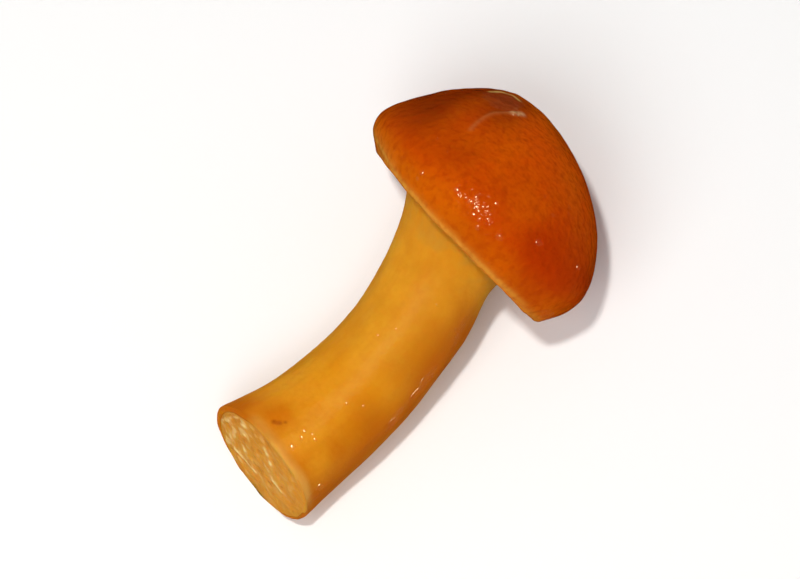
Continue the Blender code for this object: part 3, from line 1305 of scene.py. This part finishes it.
@dataclass
class Slime:
    """The clear slime: films on the cap, down the stem's side and under its foot, and beads.

    Each drop is a dome over a rounded patch of the skin. Its thickness falls from the
    middle to the rim with the root of one less the square of the distance, its rim is
    sunk in the skin, and its underside lies below the skin. Films are rows of turn in
    degrees, height, long and wide half-lengths and thickness in millimetres, heading in
    degrees, and raggedness. The cap's and the stem's beads stand where the light catches
    them, and are rows of turn in degrees, and height and size in millimetres. More beads
    are scattered between a start and a gap above the margin, and between two levels of
    the stem, all in millimetres, as their least size and its spread are.
    """

    growth: Growth
    cap: Cap
    stem: Stem
    sunk: float = 0.02 * MM
    below: float = 0.07 * MM
    under_share: float = 0.8
    lobes: tuple[int, ...] = (2, 3, 5)
    least_radius: float = 1.0 * MM
    lumps: float = 0.35
    lump_size: float = 0.8 * MM
    film_build: tuple[int, int] = (22, 64)
    bead_build: tuple[int, int] = (5, 12)
    bead_thickness: float = 0.55
    cap_films: Rows = (
        (45.0, 9.9, 2.0, 1.5, 0.13, 25.0, 0.2),
        (66.0, 10.1, 0.5, 0.3, 0.24, 75.0, 0.12),
        (166.0, 0.9, 1.3, 0.5, 0.2, 85.0, 0.15),
    )
    stem_films: Rows = (
        (161.0, 17.6, 1.9, 0.4, 0.1, 4.0, 0.22),
        (158.0, 13.0, 1.5, 0.42, 0.12, -6.0, 0.22),
        (160.0, 9.8, 1.2, 0.4, 0.12, 9.0, 0.2),
        (-70.0, 3.2, 2.6, 1.6, 0.14, 20.0, 0.15),
    )
    cap_beads: Rows = (
        (71.0, 1.96, 0.26), (88.3, 2.94, 0.28), (93.4, 2.99, 0.18), (96.0, 3.05, 0.3),
        (96.0, 3.6, 0.24), (99.4, 3.04, 0.24), (101.1, 2.9, 0.18), (101.1, 3.42, 0.22),
        (103.7, 3.42, 0.19), (105.4, 3.33, 0.16), (106.3, 2.98, 0.22), (103.7, 2.53, 0.2),
        (105.4, 2.02, 0.25), (114.9, 2.6, 0.34), (129.0, 4.4, 0.36), (155.0, 5.1, 0.32),
        (65.1, 9.83, 0.26), (67.7, 10.09, 0.2),
    )
    stem_beads: Rows = (
        (104.0, 1.2, 0.38), (102.4, 2.5, 0.26), (106.9, 3.54, 0.28), (111.4, 3.42, 0.2),
        (99.0, 3.1, 0.24), (104.6, 7.99, 0.2), (118.1, 8.83, 0.2), (155.0, 1.65, 0.42),
        (78.7, 13.76, 0.15), (90.0, 15.07, 0.12), (159.0, 12.5, 0.26), (160.0, 9.8, 0.26),
        (152.0, 17.5, 0.2),
    )
    cap_scattered: int = 60
    stem_scattered: int = 20
    cap_start: float = 1.0
    margin_gap: float = 0.3
    stem_top: float = 22.0
    stem_bottom: float = 1.0
    least_size: float = 0.05
    size_spread: float = 0.09
    small_shape: tuple[float, float, float] = (1.6, 1.4, 0.35)
    film_seeds: tuple[int, int] = (61, 62)
    scatter_seeds: tuple[int, int] = (63, 64)
    bead_seeds: tuple[int, int] = (65, 66)

    def seen(self, carrier: Turned, rows: Rows) -> list[Drop]:
        """Return the beads of some rows, round and a little over half as thick as wide."""
        return [
            Drop(turn, carrier.down_to(height), size, size, self.bead_thickness * size)
            for turn, height, size in rows
        ]

    def scattered(self, count: int, first: float, last: float, seed: int) -> list[Drop]:
        """Return small beads at random, oftener further down and mostly of the least size.

        Args:
            count: How many.
            first: The least length along the outline, in millimetres.
            last: The greatest.
            seed: Seed of the draws.

        Returns:
            The beads.
        """
        rng = np.random.default_rng(seed)
        turns = rng.uniform(0.0, 360.0, count)
        places = first + (last - first) * np.sqrt(rng.uniform(0.0, 1.0, count))
        sizes = self.least_size + self.size_spread * rng.uniform(0.0, 1.0, count) ** 2
        long, wide, thick = self.small_shape
        return [
            Drop(turn, place, long * size, wide * size, thick * size, rng.uniform(0.0, 180.0))
            for turn, place, size in zip(turns, places, sizes)
        ]

    def shaped(self, drops: list[Drop], carrier: Turned, build: tuple[int, int], seed: int) -> Tubes:
        """Return some drops on one carrier, as upright shapes.

        A drop's rings lie at sines of even steps out to its half-lengths, and waver with
        a few cosines round it. They are turned by the heading and laid on the carrier's
        skin, and each corner stands out of it by the drop's thickness there.

        Args:
            drops: The drops.
            carrier: The skin they sit on.
            build: How many rings each dome has, and how many corners a ring has.
            seed: Seed of the ragged outlines and of the lumps.

        Returns:
            The drops as tubes, with one more ring that closes each underneath.
        """
        rng = np.random.default_rng(seed)
        rings, columns = build
        share = np.sin(np.linspace(0.0, 0.5 * math.pi, rings + 1)[1:])
        share = np.append(share, self.under_share)[None, :, None]
        phi = (np.arange(columns) * TAU / columns)[None, None, :]
        turn, along, long, wide, thick, heading, ragged = (
            np.array([getattr(drop, key) for drop in drops])[:, None, None]
            for key in ("turn", "along", "long", "wide", "thick", "heading", "ragged")
        )
        waver = np.ones((len(drops), 1, columns))
        for lobes in self.lobes:
            start = rng.uniform(0.0, TAU, (len(drops), 1, 1))
            waver = waver + 2.0 * ragged / lobes * np.cos(lobes * phi + start)
        down = long * MM * share * waver * np.cos(phi)
        round_it = wide * MM * share * waver * np.sin(phi)
        angle = np.radians(heading)
        step_down = down * np.cos(angle) - round_it * np.sin(angle)
        step_round = down * np.sin(angle) + round_it * np.cos(angle)
        length = along * MM + step_down
        radius = np.interp(length, carrier.outline.along, carrier.outline.points[:, 0])
        turned = np.radians(turn) + step_round / np.maximum(radius, self.least_radius)
        places, normals = carrier.skin(turned, length)
        depth = thick * MM * np.sqrt(np.clip(1.0 - share**2, 0.0, 1.0)) - self.sunk
        depth = depth * (1.0 + Ripple(self.lumps, self.lump_size, seed).at(places))
        depth[:, -2] = -self.sunk
        depth[:, -1] = -self.below
        grid = places + normals * depth[..., None]
        base, out = carrier.skin(np.radians(turn[:, :, 0]), along[:, :, 0] * MM)
        top = base + out * (thick[:, :, 0] * MM - self.sunk)[..., None]
        corners = np.concatenate((grid.reshape(len(drops), -1, 3), top, base - out * self.below), axis=1)
        return Tubes(corners, rings + 1, columns)

    def add(self, name: str, batches: list[Tubes], material: bpy.types.Material) -> None:
        """Make one piece of several batches of drops, dressed in a material."""
        dress(new_piece(name, self.growth, *joined(batches), {}), material)

    def films(self, carrier: Turned, rows: Rows, seed: int) -> Tubes:
        """Return the films of some rows on one carrier."""
        drops = [Drop(turn, carrier.down_to(height), *rest) for turn, height, *rest in rows]
        return self.shaped(drops, carrier, self.film_build, seed)

    def make(self, material: bpy.types.Material) -> None:
        """Make the films and the beads.

        Args:
            material: What they are dressed in.
        """
        cap, stem = self.cap, self.stem
        cap_seed, stem_seed = self.film_seeds
        films = [self.films(cap, self.cap_films, cap_seed), self.films(stem, self.stem_films, stem_seed)]
        self.add("slime_films", films, material)
        cap_seed, stem_seed = self.scatter_seeds
        cap_end = cap.marks()[1] / MM - self.margin_gap
        on_cap = self.seen(cap, self.cap_beads)
        on_cap += self.scattered(self.cap_scattered, self.cap_start, cap_end, cap_seed)
        stem_start, stem_end = stem.down_to(self.stem_top), stem.down_to(self.stem_bottom)
        on_stem = self.seen(stem, self.stem_beads)
        on_stem += self.scattered(self.stem_scattered, stem_start, stem_end, stem_seed)
        cap_seed, stem_seed = self.bead_seeds
        self.add("slime_beads", [
            self.shaped(on_cap, cap, self.bead_build, cap_seed),
            self.shaped(on_stem, stem, self.bead_build, stem_seed),
        ], material)


@dataclass(frozen=True)
class Tint:
    """A colour laid over a skin where the piece's mask of that name is high.

    The most is its share where the mask is 1.
    """

    mask: str
    colour: Colour
    most: float


class Tree:
    """A node tree that is filled by short calls."""

    def __init__(self, tree: bpy.types.NodeTree) -> None:
        """Wrap a tree."""
        self.tree = tree

    def link(self, source: Socket, target: Socket) -> None:
        """Link an output to an input."""
        self.tree.links.new(source, target)

    def add(
        self, kind: str, inputs: dict[str | int, object] | None = None, **settings: object
    ) -> bpy.types.Node:
        """Return a new node, with its settings and its inputs' values or links.

        Args:
            kind: The node's type, without the word ShaderNode.
            inputs: Input names or numbers, each with a value or a socket to link.
            **settings: Properties of the node.

        Returns:
            The node.
        """
        node = self.tree.nodes.new("ShaderNode" + kind)
        for key, value in settings.items():
            setattr(node, key, value)
        for key, value in (inputs or {}).items():
            if isinstance(value, Socket):
                self.link(value, node.inputs[key])
            else:
                node.inputs[key].default_value = value
        return node

    def maths(self, operation: str, *values: object, clamp: bool = False) -> Socket:
        """Return the result of a Math node on up to three values."""
        node = self.add("Math", dict(enumerate(values)), operation=operation, use_clamp=clamp)
        return node.outputs[0]

    def mix(self, share: object, below: Socket, above: Colour) -> Socket:
        """Return a colour with a share of another laid over it, by a Mix node."""
        return self.add("Mix", {0: share, 6: below, 7: (*above, 1.0)}, data_type="RGBA").outputs[2]

    def over(self, below: Socket, mask: Socket, above: Colour, most: float) -> Socket:
        """Return a colour with another laid over it, by a mask times its greatest share."""
        return self.mix(self.maths("MULTIPLY", mask, most), below, above)

    def mask(self, name: str) -> Socket:
        """Return a mask of the piece's own mesh."""
        return self.attribute(name).outputs["Fac"]

    def attribute(self, name: str) -> bpy.types.Node:
        """Return an Attribute node that reads the piece's own mesh."""
        return self.add("Attribute", attribute_type="GEOMETRY", attribute_name=name)

    def tinted(self, colour: Socket, tints: tuple[Tint, ...]) -> Socket:
        """Return a colour with tints laid over it, one after another.

        Args:
            colour: The colour below.
            tints: The tints, from the lowest up.

        Returns:
            The colour.
        """
        for tint in tints:
            colour = self.over(colour, self.mask(tint.mask), tint.colour, tint.most)
        return colour

    def ramp(self, share: Socket, stops: Stops) -> Socket:
        """Return the colour of a ramp that eases from stop to stop.

        Args:
            share: Where along the ramp.
            stops: Each stop's place and colour.

        Returns:
            The colour.
        """
        node = self.add("ValToRGB", {0: share})
        band = node.color_ramp
        band.interpolation = "EASE"
        while len(band.elements) < len(stops):
            band.elements.new(0.5)
        for element, (place, colour) in zip(band.elements, stops):
            element.position = place
            element.color = (*colour, 1.0)
        return node.outputs[0]


def new_group(
    name: str, inputs: dict[str, tuple[str, object]], outputs: dict[str, str]
) -> tuple[Tree, bpy.types.Node, bpy.types.Node]:
    """Return a new shader node group with named sockets.

    Args:
        name: The group's name.
        inputs: Each input's socket type and default value.
        outputs: Each output's socket type.

    Returns:
        The tree, its input node and its output node.
    """
    group = bpy.data.node_groups.new(name, "ShaderNodeTree")
    for key, (kind, value) in inputs.items():
        socket = group.interface.new_socket(key, in_out="INPUT", socket_type=kind)
        if value is not None:
            socket.default_value = value
    for key, kind in outputs.items():
        group.interface.new_socket(key, in_out="OUTPUT", socket_type=kind)
    source = group.nodes.new("NodeGroupInput")
    sink = group.nodes.new("NodeGroupOutput")
    return Tree(group), source, sink


def mottle_group() -> bpy.types.NodeTree:
    """Return the group that gives flesh its blotches: soft clouds and fine specks.

    Each is a noise, spread between a low and a high value by an S.

    Returns:
        The group.
    """
    tree, source, sink = new_group(
        "flesh_mottle",
        {
            "Vector": ("NodeSocketVector", None),
            "Cloud Scale": ("NodeSocketFloat", 250.0),
            "Speck Scale": ("NodeSocketFloat", 2500.0),
        },
        {"Clouds": "NodeSocketFloat", "Specks": "NodeSocketFloat"},
    )
    for key, scale, detail, low, high in (
        ("Clouds", "Cloud Scale", 3.0, 0.3, 0.7),
        ("Specks", "Speck Scale", 2.0, 0.42, 0.72),
    ):
        size = {"Vector": source.outputs["Vector"], "Scale": source.outputs[scale], "Detail": detail}
        noise = tree.add("TexNoise", size)
        band = {0: noise.outputs["Fac"], 1: low, 2: high}
        spread = tree.add("MapRange", band, interpolation_type="SMOOTHSTEP")
        tree.link(spread.outputs[0], sink.inputs[key])
    return tree.tree


def wet_group() -> bpy.types.NodeTree:
    """Return the group that makes a surface look wet: broad ripples, and tiny beads on them.

    Each is a noise that a Bump node raises.

    Returns:
        The group.
    """
    tree, source, sink = new_group(
        "wet_relief",
        {
            "Vector": ("NodeSocketVector", None),
            "Ripple Scale": ("NodeSocketFloat", 500.0),
            "Ripple Depth": ("NodeSocketFloat", 0.5),
            "Bead Scale": ("NodeSocketFloat", 3000.0),
            "Bead Depth": ("NodeSocketFloat", 0.3),
        },
        {"Normal": "NodeSocketVector"},
    )
    below: dict[str, Socket] = {}
    for kind, detail in (("Ripple", 2.0), ("Bead", 1.0)):
        scale, depth = source.outputs[f"{kind} Scale"], source.outputs[f"{kind} Depth"]
        size = {"Vector": source.outputs["Vector"], "Scale": scale, "Detail": detail}
        noise = tree.add("TexNoise", size)
        raised = {"Height": noise.outputs["Fac"], "Strength": depth, "Distance": WET_HEIGHT, **below}
        below = {"Normal": tree.add("Bump", raised).outputs[0]}
    tree.link(below["Normal"], sink.inputs["Normal"])
    return tree.tree


@dataclass(frozen=True)
class Groups:
    """The node groups that the finishes share."""

    mottle: bpy.types.NodeTree
    wet: bpy.types.NodeTree


@dataclass(frozen=True)
class Wet:
    """How a wet surface reflects: its gloss, and the scale and depth of ripples and beads."""

    roughness: float
    gloss: float
    ripple_scale: float
    ripple_depth: float
    bead_scale: float
    bead_depth: float


@dataclass(frozen=True)
class Flesh:
    """What all the mushroom's finishes share: wet, mottled, slightly see-through flesh.

    The depth is how much of the light goes in, and the reach how far it spreads there.
    """

    slot: Slot
    wet: Wet
    depth: float
    reach: float
    cloud_scale: float
    speck_scale: float
    glow: Colour = (1.0, 0.35, 0.08)

    def colour(self, tree: Tree, clouds: Socket, specks: Socket) -> Socket:
        """Return the surface's colour, given the mottle's clouds and specks."""
        raise NotImplementedError

    def build(self, groups: Groups) -> bpy.types.Material:
        """Return the material: the finish's own colour on a wet Principled shader.

        Args:
            groups: The node groups for the mottle and the wet relief.

        Returns:
            The material, named as its slot.
        """
        material = bpy.data.materials.new(self.slot.value)
        material.use_nodes = True
        tree = Tree(material.node_tree)
        shader = material.node_tree.nodes["Principled BSDF"]
        for key, value in (
            ("Roughness", self.wet.roughness),
            ("Specular IOR Level", self.wet.gloss),
            ("Subsurface Weight", self.depth),
            ("Subsurface Radius", self.glow),
            ("Subsurface Scale", self.reach),
        ):
            shader.inputs[key].default_value = value
        place = tree.add("TexCoord").outputs["Object"]
        blotches = {"Vector": place, "Cloud Scale": self.cloud_scale, "Speck Scale": self.speck_scale}
        mottle = tree.add("Group", blotches, node_tree=groups.mottle)
        film = {
            "Vector": place,
            "Ripple Scale": self.wet.ripple_scale,
            "Ripple Depth": self.wet.ripple_depth,
            "Bead Scale": self.wet.bead_scale,
            "Bead Depth": self.wet.bead_depth,
        }
        relief = tree.add("Group", film, node_tree=groups.wet)
        colour = self.colour(tree, mottle.outputs["Clouds"], mottle.outputs["Specks"])
        tree.link(colour, shader.inputs["Base Color"])
        tree.link(relief.outputs["Normal"], shader.inputs["Normal"])
        return material


@dataclass(frozen=True)
class CapSkin(Flesh):
    """Deep orange-brown skin, redder on one side, browner on another in part as painted shade, and ochre
    at its margin's edge, where a painted highlight runs along the seen part.

    The way down has the crown, the dome, the side and the rim. Clouds stir it, less and
    less on the inside.
    """

    slot: Slot = Slot.CAP
    wet: Wet = Wet(0.15, 0.045, 700.0, 0.15, 1700.0, 0.7)
    depth: float = 0.3
    reach: float = 0.9 * MM
    cloud_scale: float = 220.0
    speck_scale: float = 1900.0
    way_down: Stops = (
        (0.0, (0.60, 0.083, 0.0005)),
        (0.25, (0.72, 0.080, 0.0004)),
        (0.66, (0.57, 0.067, 0.0004)),
        (0.88, (0.53, 0.102, 0.0010)),
    )
    stirring: float = 0.10
    amber: Colour = (0.73, 0.132, 0.0008)
    amber_share: float = 0.6
    patches: tuple[Tint, ...] = (
        # Brown patch: partly the skin's own brown, partly painted shade
        Tint("brown", (0.20, 0.021, 0.0006), 0.85),
        Tint("red", (0.40, 0.024, 0.0003), 0.8),
        # Pale rim of the margin, the skin's own, and a painted highlight along its seen edge
        Tint("pale_lip_and_highlight", (0.66, 0.30, 0.035), 0.8),
    )
    speck: Colour = (0.37, 0.030, 0.0004)
    speck_share: float = 0.33
    # The fold's own pale colour, then the painted highlights near the apex
    fold_and_painted_highlights: tuple[Tint, ...] = (
        Tint("fold", (0.56, 0.24, 0.07), 0.27),
        Tint("painted_gleam", (0.84, 0.54, 0.15), 0.8),
        Tint("painted_glint", (0.80, 0.50, 0.24), 0.55),
    )
    under: Colour = (0.36, 0.15, 0.03)
    under_range: tuple[float, float] = (0.05, 0.2)

    def colour(self, tree: Tree, clouds: Socket, specks: Socket) -> Socket:
        """Return the ramp down the skin with its amber clouds, patches, specks, the fold's pale colour
        and the painted highlights.

        Args:
            tree: The material's tree.
            clouds: The mottle's clouds.
            specks: The mottle's specks.

        Returns:
            The colour.
        """
        inside = tree.mask("inside")
        outside = tree.maths("SUBTRACT", 1.0, inside, clamp=True)
        stirred = tree.maths("MULTIPLY_ADD", clouds, self.stirring, -0.5 * self.stirring)
        place = tree.maths("MULTIPLY_ADD", stirred, outside, tree.mask("down"))
        colour = tree.over(tree.ramp(place, self.way_down), clouds, self.amber, self.amber_share)
        colour = tree.tinted(colour, self.patches)
        colour = tree.over(colour, specks, self.speck, self.speck_share)
        colour = tree.tinted(colour, self.fold_and_painted_highlights)
        low, high = self.under_range
        hidden = tree.add("MapRange", {0: inside, 1: low, 2: high}).outputs[0]
        return tree.mix(hidden, colour, self.under)


@dataclass(frozen=True)
class StemSkin(Flesh):
    """Golden stem with faint lengthwise fibres, brightest low down and darker by the cap, where the cap's
    shade is painted in.

    The way up has the foot, the middle, the upper stem twice, and the top. The fibres
    are a noise that is stretched along the stem.
    """

    slot: Slot = Slot.STEM
    wet: Wet = Wet(0.45, 0.025, 800.0, 0.2, 3000.0, 0.15)
    depth: float = 0.45
    reach: float = 1.1 * MM
    cloud_scale: float = 330.0
    speck_scale: float = 2300.0
    length: float = Growth.stem_length
    way_up: Stops = (
        (0.0, (0.665, 0.203, 0.0035)),
        (0.25, (0.735, 0.272, 0.0062)),
        (0.7, (0.65, 0.25, 0.0105)),
        (0.88, (0.65, 0.25, 0.0105)),
        # Painted shade under the cap: the top is darker
        (1.0, (0.44, 0.182, 0.019)),
    )
    stirring: float = 0.16
    peach: Colour = (0.87, 0.410, 0.024)
    peach_share: float = 0.46
    fibre: Colour = (0.62, 0.19, 0.006)
    fibre_share: float = 0.22
    fibre_scale: float = 1500.0
    fibre_detail: float = 2.0
    fibre_squeeze: float = 0.09
    fibre_range: tuple[float, float] = (0.5, 0.75)
    speck_share: float = 0.16
    patches: tuple[Tint, ...] = (
        Tint("patch", (0.62, 0.135, 0.0010), 0.85),
        # Painted shade down one side of the stem
        Tint("shaded_side", (0.50, 0.112, 0.0015), 0.95),
        Tint("bare", (0.74, 0.365, 0.065), 0.7),
        Tint("spots", (0.36, 0.06, 0.001), 0.8),
        Tint("edge", (0.46, 0.115, 0.003), 0.7),
    )

    def fibres(self, tree: Tree, upright: Socket) -> Socket:
        """Return the fibres' share of the colour.

        Args:
            tree: The material's tree.
            upright: Places on the upright stem.

        Returns:
            A share from 0 to the greatest.
        """
        squeeze = (1.0, 1.0, self.fibre_squeeze)
        stretched = tree.add("Mapping", {"Vector": upright, "Scale": squeeze}).outputs[0]
        noise = {"Vector": stretched, "Scale": self.fibre_scale, "Detail": self.fibre_detail}
        grain = tree.add("TexNoise", noise).outputs["Fac"]
        low, high = self.fibre_range
        return tree.add("MapRange", {0: grain, 1: low, 2: high, 4: self.fibre_share}).outputs[0]

    def colour(self, tree: Tree, clouds: Socket, specks: Socket) -> Socket:
        """Return the ramp up the stem with its peach clouds, fibres, specks and patches.

        Args:
            tree: The material's tree.
            clouds: The mottle's clouds.
            specks: The mottle's specks.

        Returns:
            The colour.
        """
        upright = tree.attribute("upright").outputs["Vector"]
        level = tree.add("SeparateXYZ", {0: upright}).outputs[2]
        stirred = tree.maths("MULTIPLY_ADD", clouds, self.stirring, -0.5 * self.stirring)
        place = tree.maths("MULTIPLY_ADD", level, 1.0 / self.length, stirred)
        colour = tree.over(tree.ramp(place, self.way_up), clouds, self.peach, self.peach_share)
        colour = tree.mix(self.fibres(tree, upright), colour, self.fibre)
        colour = tree.over(colour, specks, self.fibre, self.speck_share)
        return tree.tinted(colour, self.patches)


@dataclass(frozen=True)
class GillFlesh(Flesh):
    """Damp ochre blades, paler at their edges where the clouds let them be."""

    slot: Slot = Slot.GILLS
    wet: Wet = Wet(0.4, 0.2, 800.0, 0.2, 3000.0, 0.15)
    depth: float = 0.3
    reach: float = 0.6 * MM
    cloud_scale: float = 500.0
    speck_scale: float = 2500.0
    root: Colour = (0.36, 0.13, 0.02)
    edge: Colour = (0.58, 0.28, 0.07)
    patchy: float = 0.4

    def colour(self, tree: Tree, clouds: Socket, specks: Socket) -> Socket:
        """Return the ramp from the blades' roots to their edges.

        Args:
            tree: The material's tree.
            clouds: The mottle's clouds.
            specks: The mottle's specks, which are not used, as they are too fine for the blades.

        Returns:
            The colour.
        """
        patchy = tree.maths("MULTIPLY_ADD", clouds, self.patchy, 1.0 - self.patchy)
        share = tree.maths("MULTIPLY", tree.mask("edge"), patchy)
        return tree.ramp(share, ((0.0, self.root), (1.0, self.edge)))


@dataclass(frozen=True)
class CutFlesh(Flesh):
    """Pale wet cut flesh: amber, with yellow streaks, grains and painted glints, and brown pits."""

    slot: Slot = Slot.CUT
    wet: Wet = Wet(0.4, 0.08, 1300.0, 0.2, 3600.0, 0.25)
    depth: float = 0.6
    reach: float = 1.2 * MM
    cloud_scale: float = 600.0
    speck_scale: float = 2600.0
    heart: Colour = (0.74, 0.32, 0.042)
    rim: Colour = (0.70, 0.28, 0.028)
    dark: Colour = (0.62, 0.215, 0.016)
    dark_share: float = 0.5
    marks: tuple[Tint, ...] = (
        # Pale grains and streaks, and painted glints
        Tint("pale", (0.95, 0.70, 0.28), 0.9),
        Tint("pit", (0.40, 0.11, 0.005), 0.85),
    )

    def colour(self, tree: Tree, clouds: Socket, specks: Socket) -> Socket:
        """Return the ramp out from the heart, with its dark clouds, pale marks and pits."""
        colour = tree.ramp(tree.mask("out"), ((0.0, self.heart), (1.0, self.rim)))
        return tree.tinted(tree.over(colour, clouds, self.dark, self.dark_share), self.marks)


@dataclass(frozen=True)
class ClearSlime:
    """Clear amber slime: what lies behind it shows through, and its gloss is added on top."""

    slot: Slot = Slot.SLIME
    roughness: float = 0.28
    gloss: float = 0.05
    tint: Colour = (1.0, 0.985, 0.94)
    body: Colour = (0.92, 0.66, 0.30)
    body_roughness: float = 0.4
    cloud: float = 0.02

    def build(self) -> bpy.types.Material:
        """Return the material: mostly transparent, a little milky, with a gloss added.

        Returns:
            The material, named as its slot.
        """
        material = bpy.data.materials.new(self.slot.value)
        material.use_nodes = True
        tree = Tree(material.node_tree)
        body = material.node_tree.nodes["Principled BSDF"]
        body.inputs["Base Color"].default_value = (*self.body, 1.0)
        body.inputs["Roughness"].default_value = self.body_roughness
        clear = tree.add("BsdfTransparent", {"Color": (*self.tint, 1.0)})
        inner = tree.add("MixShader", {0: self.cloud, 1: clear.outputs[0], 2: body.outputs[0]})
        shine = (self.gloss, self.gloss, self.gloss, 1.0)
        gloss = tree.add("BsdfAnisotropic", {"Color": shine, "Roughness": self.roughness})
        surface = tree.add("AddShader", {0: inner.outputs[0], 1: gloss.outputs[0]})
        output = material.node_tree.nodes["Material Output"]
        tree.link(surface.outputs[0], output.inputs["Surface"])
        return material


class Light(Enum):
    """The lights: two that light the flesh, and one that only shows in its gloss."""

    SOFTBOX = "softbox"
    LAMP = "lamp"
    GLINT = "glint"


@dataclass
class Studio:
    """The pale floor, the soft lights, the small lights by the camera, and the camera.

    The lamp and the glint hang in one place, which is the camera's turned and raised a
    little. A brightness is that of a white card at the mushroom, lit by that light alone.
    """

    azimuth: float = math.radians(-46.3)
    elevation: float = math.radians(75.0)
    distance: float = 0.41
    lens: float = 240.0
    near_clip: float = 0.01
    floor_size: float = 3.0
    floor_colour: Colour = (0.97, 0.97, 0.97)
    floor_roughness: float = 0.6
    floor_gloss: float = 0.2
    sky: float = 0.26
    softbox_way: tuple[float, float, float] = (-0.55, -0.15, 0.82)
    softbox_distance: float = 0.5
    softbox_size: float = 0.3
    softbox_brightness: float = 0.44
    lamp_turn: float = -0.9
    lamp_raise: float = 0.13
    lamp_distance: float = 0.45
    lamp_size: float = 0.022
    lamp_brightness: float = 0.46
    glint_brightness: float = 2.6
    glint_colour: Colour = (1.0, 0.82, 0.50)

    def back(self, azimuth: float, elevation: float) -> Vector:
        """Return the unit vector from the mushroom towards a viewer."""
        return Vector((
            math.sin(azimuth) * math.cos(elevation),
            -math.cos(azimuth) * math.cos(elevation),
            math.sin(elevation),
        ))

    def aim(self, thing: bpy.types.Object, place: Vector, target: Vector) -> None:
        """Add a thing to the scene, looking at a target.

        Args:
            thing: A light or a camera.
            place: Where it goes.
            target: What it looks at.
        """
        thing.location = place
        thing.rotation_euler = (target - place).to_track_quat("-Z", "Y").to_euler()
        bpy.context.scene.collection.objects.link(thing)

    def light(self, kind: Light, place: Vector, target: Vector, size: float, value: float) -> None:
        """Add a square light.

        Args:
            kind: Whether it lights the flesh or shows in its gloss.
            place: Where it hangs.
            target: What it looks at.
            size: The length of its sides.
            value: Its brightness on a card at the target.
        """
        lamp = bpy.data.lights.new(kind.value, "AREA")
        lamp.size = size
        lamp.energy = value * math.pi**2 * (target - place).length_squared
        if kind is Light.GLINT:
            lamp.color = self.glint_colour
        thing = bpy.data.objects.new(kind.value, lamp)
        thing.visible_glossy = kind is Light.GLINT
        thing.visible_diffuse = kind is not Light.GLINT
        self.aim(thing, place, target)

    def add_floor(self) -> None:
        """Add the floor, a plain pale plane that no gloss shows."""
        half = 0.5 * self.floor_size
        mesh = bpy.data.meshes.new("floor")
        corners = [(-half, -half, 0.0), (half, -half, 0.0), (half, half, 0.0), (-half, half, 0.0)]
        mesh.from_pydata(corners, [], [(0, 1, 2, 3)])
        floor = bpy.data.objects.new("floor", mesh)
        bpy.context.scene.collection.objects.link(floor)
        material = bpy.data.materials.new("pale_floor")
        material.use_nodes = True
        shader = material.node_tree.nodes["Principled BSDF"]
        shader.inputs["Base Color"].default_value = (*self.floor_colour, 1.0)
        shader.inputs["Roughness"].default_value = self.floor_roughness
        shader.inputs["Specular IOR Level"].default_value = self.floor_gloss
        mesh.materials.append(material)
        floor.visible_glossy = False

    def add_world(self) -> None:
        """Add an even white sky that no gloss shows."""
        world = bpy.data.worlds.new("studio")
        world.use_nodes = True
        sky = world.node_tree.nodes["Background"]
        sky.inputs["Color"].default_value = (1.0, 1.0, 1.0, 1.0)
        sky.inputs["Strength"].default_value = self.sky
        world.cycles_visibility.glossy = False
        bpy.context.scene.world = world

    def add_camera(self, target: Vector) -> None:
        """Add the camera at the photograph's viewing angle.

        Args:
            target: What it looks at.
        """
        lens = bpy.data.cameras.new("camera")
        lens.lens = self.lens
        lens.clip_start = self.near_clip
        camera = bpy.data.objects.new("camera", lens)
        self.aim(camera, target + self.distance * self.back(self.azimuth, self.elevation), target)
        bpy.context.scene.camera = camera

    def make(self) -> None:
        """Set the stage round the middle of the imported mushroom."""
        low, high = (Vector(corner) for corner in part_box(NODE))
        target = 0.5 * (low + high)
        bpy.context.scene.view_settings.view_transform = "Standard"
        self.add_camera(target)
        self.add_floor()
        self.add_world()
        softbox = target + self.softbox_distance * Vector(self.softbox_way).normalized()
        near = self.back(self.azimuth + self.lamp_turn, self.elevation + self.lamp_raise)
        lamp = target + self.lamp_distance * near
        self.light(Light.SOFTBOX, softbox, target, self.softbox_size, self.softbox_brightness)
        self.light(Light.LAMP, lamp, target, self.lamp_size, self.lamp_brightness)
        self.light(Light.GLINT, lamp, target, self.lamp_size, self.glint_brightness)


def main() -> None:
    logging.basicConfig(level=logging.INFO, format="%(message)s")
    groups = Groups(mottle_group(), wet_group())
    draft = Growth()
    growth = draft.settled(np.concatenate((Cap(draft).outside(), Stem(draft).outside())))
    cap = Cap(growth)
    stem = Stem(growth)
    cap.make(CapSkin().build(groups))
    Gills(growth, cap).make(GillFlesh().build(groups))
    stem.make(StemSkin().build(groups))
    CutFace(growth, stem).make(CutFlesh().build(groups))
    Slime(growth, cap, stem).make(ClearSlime().build())
    Studio().make()


if __name__ == "__main__":
    main()
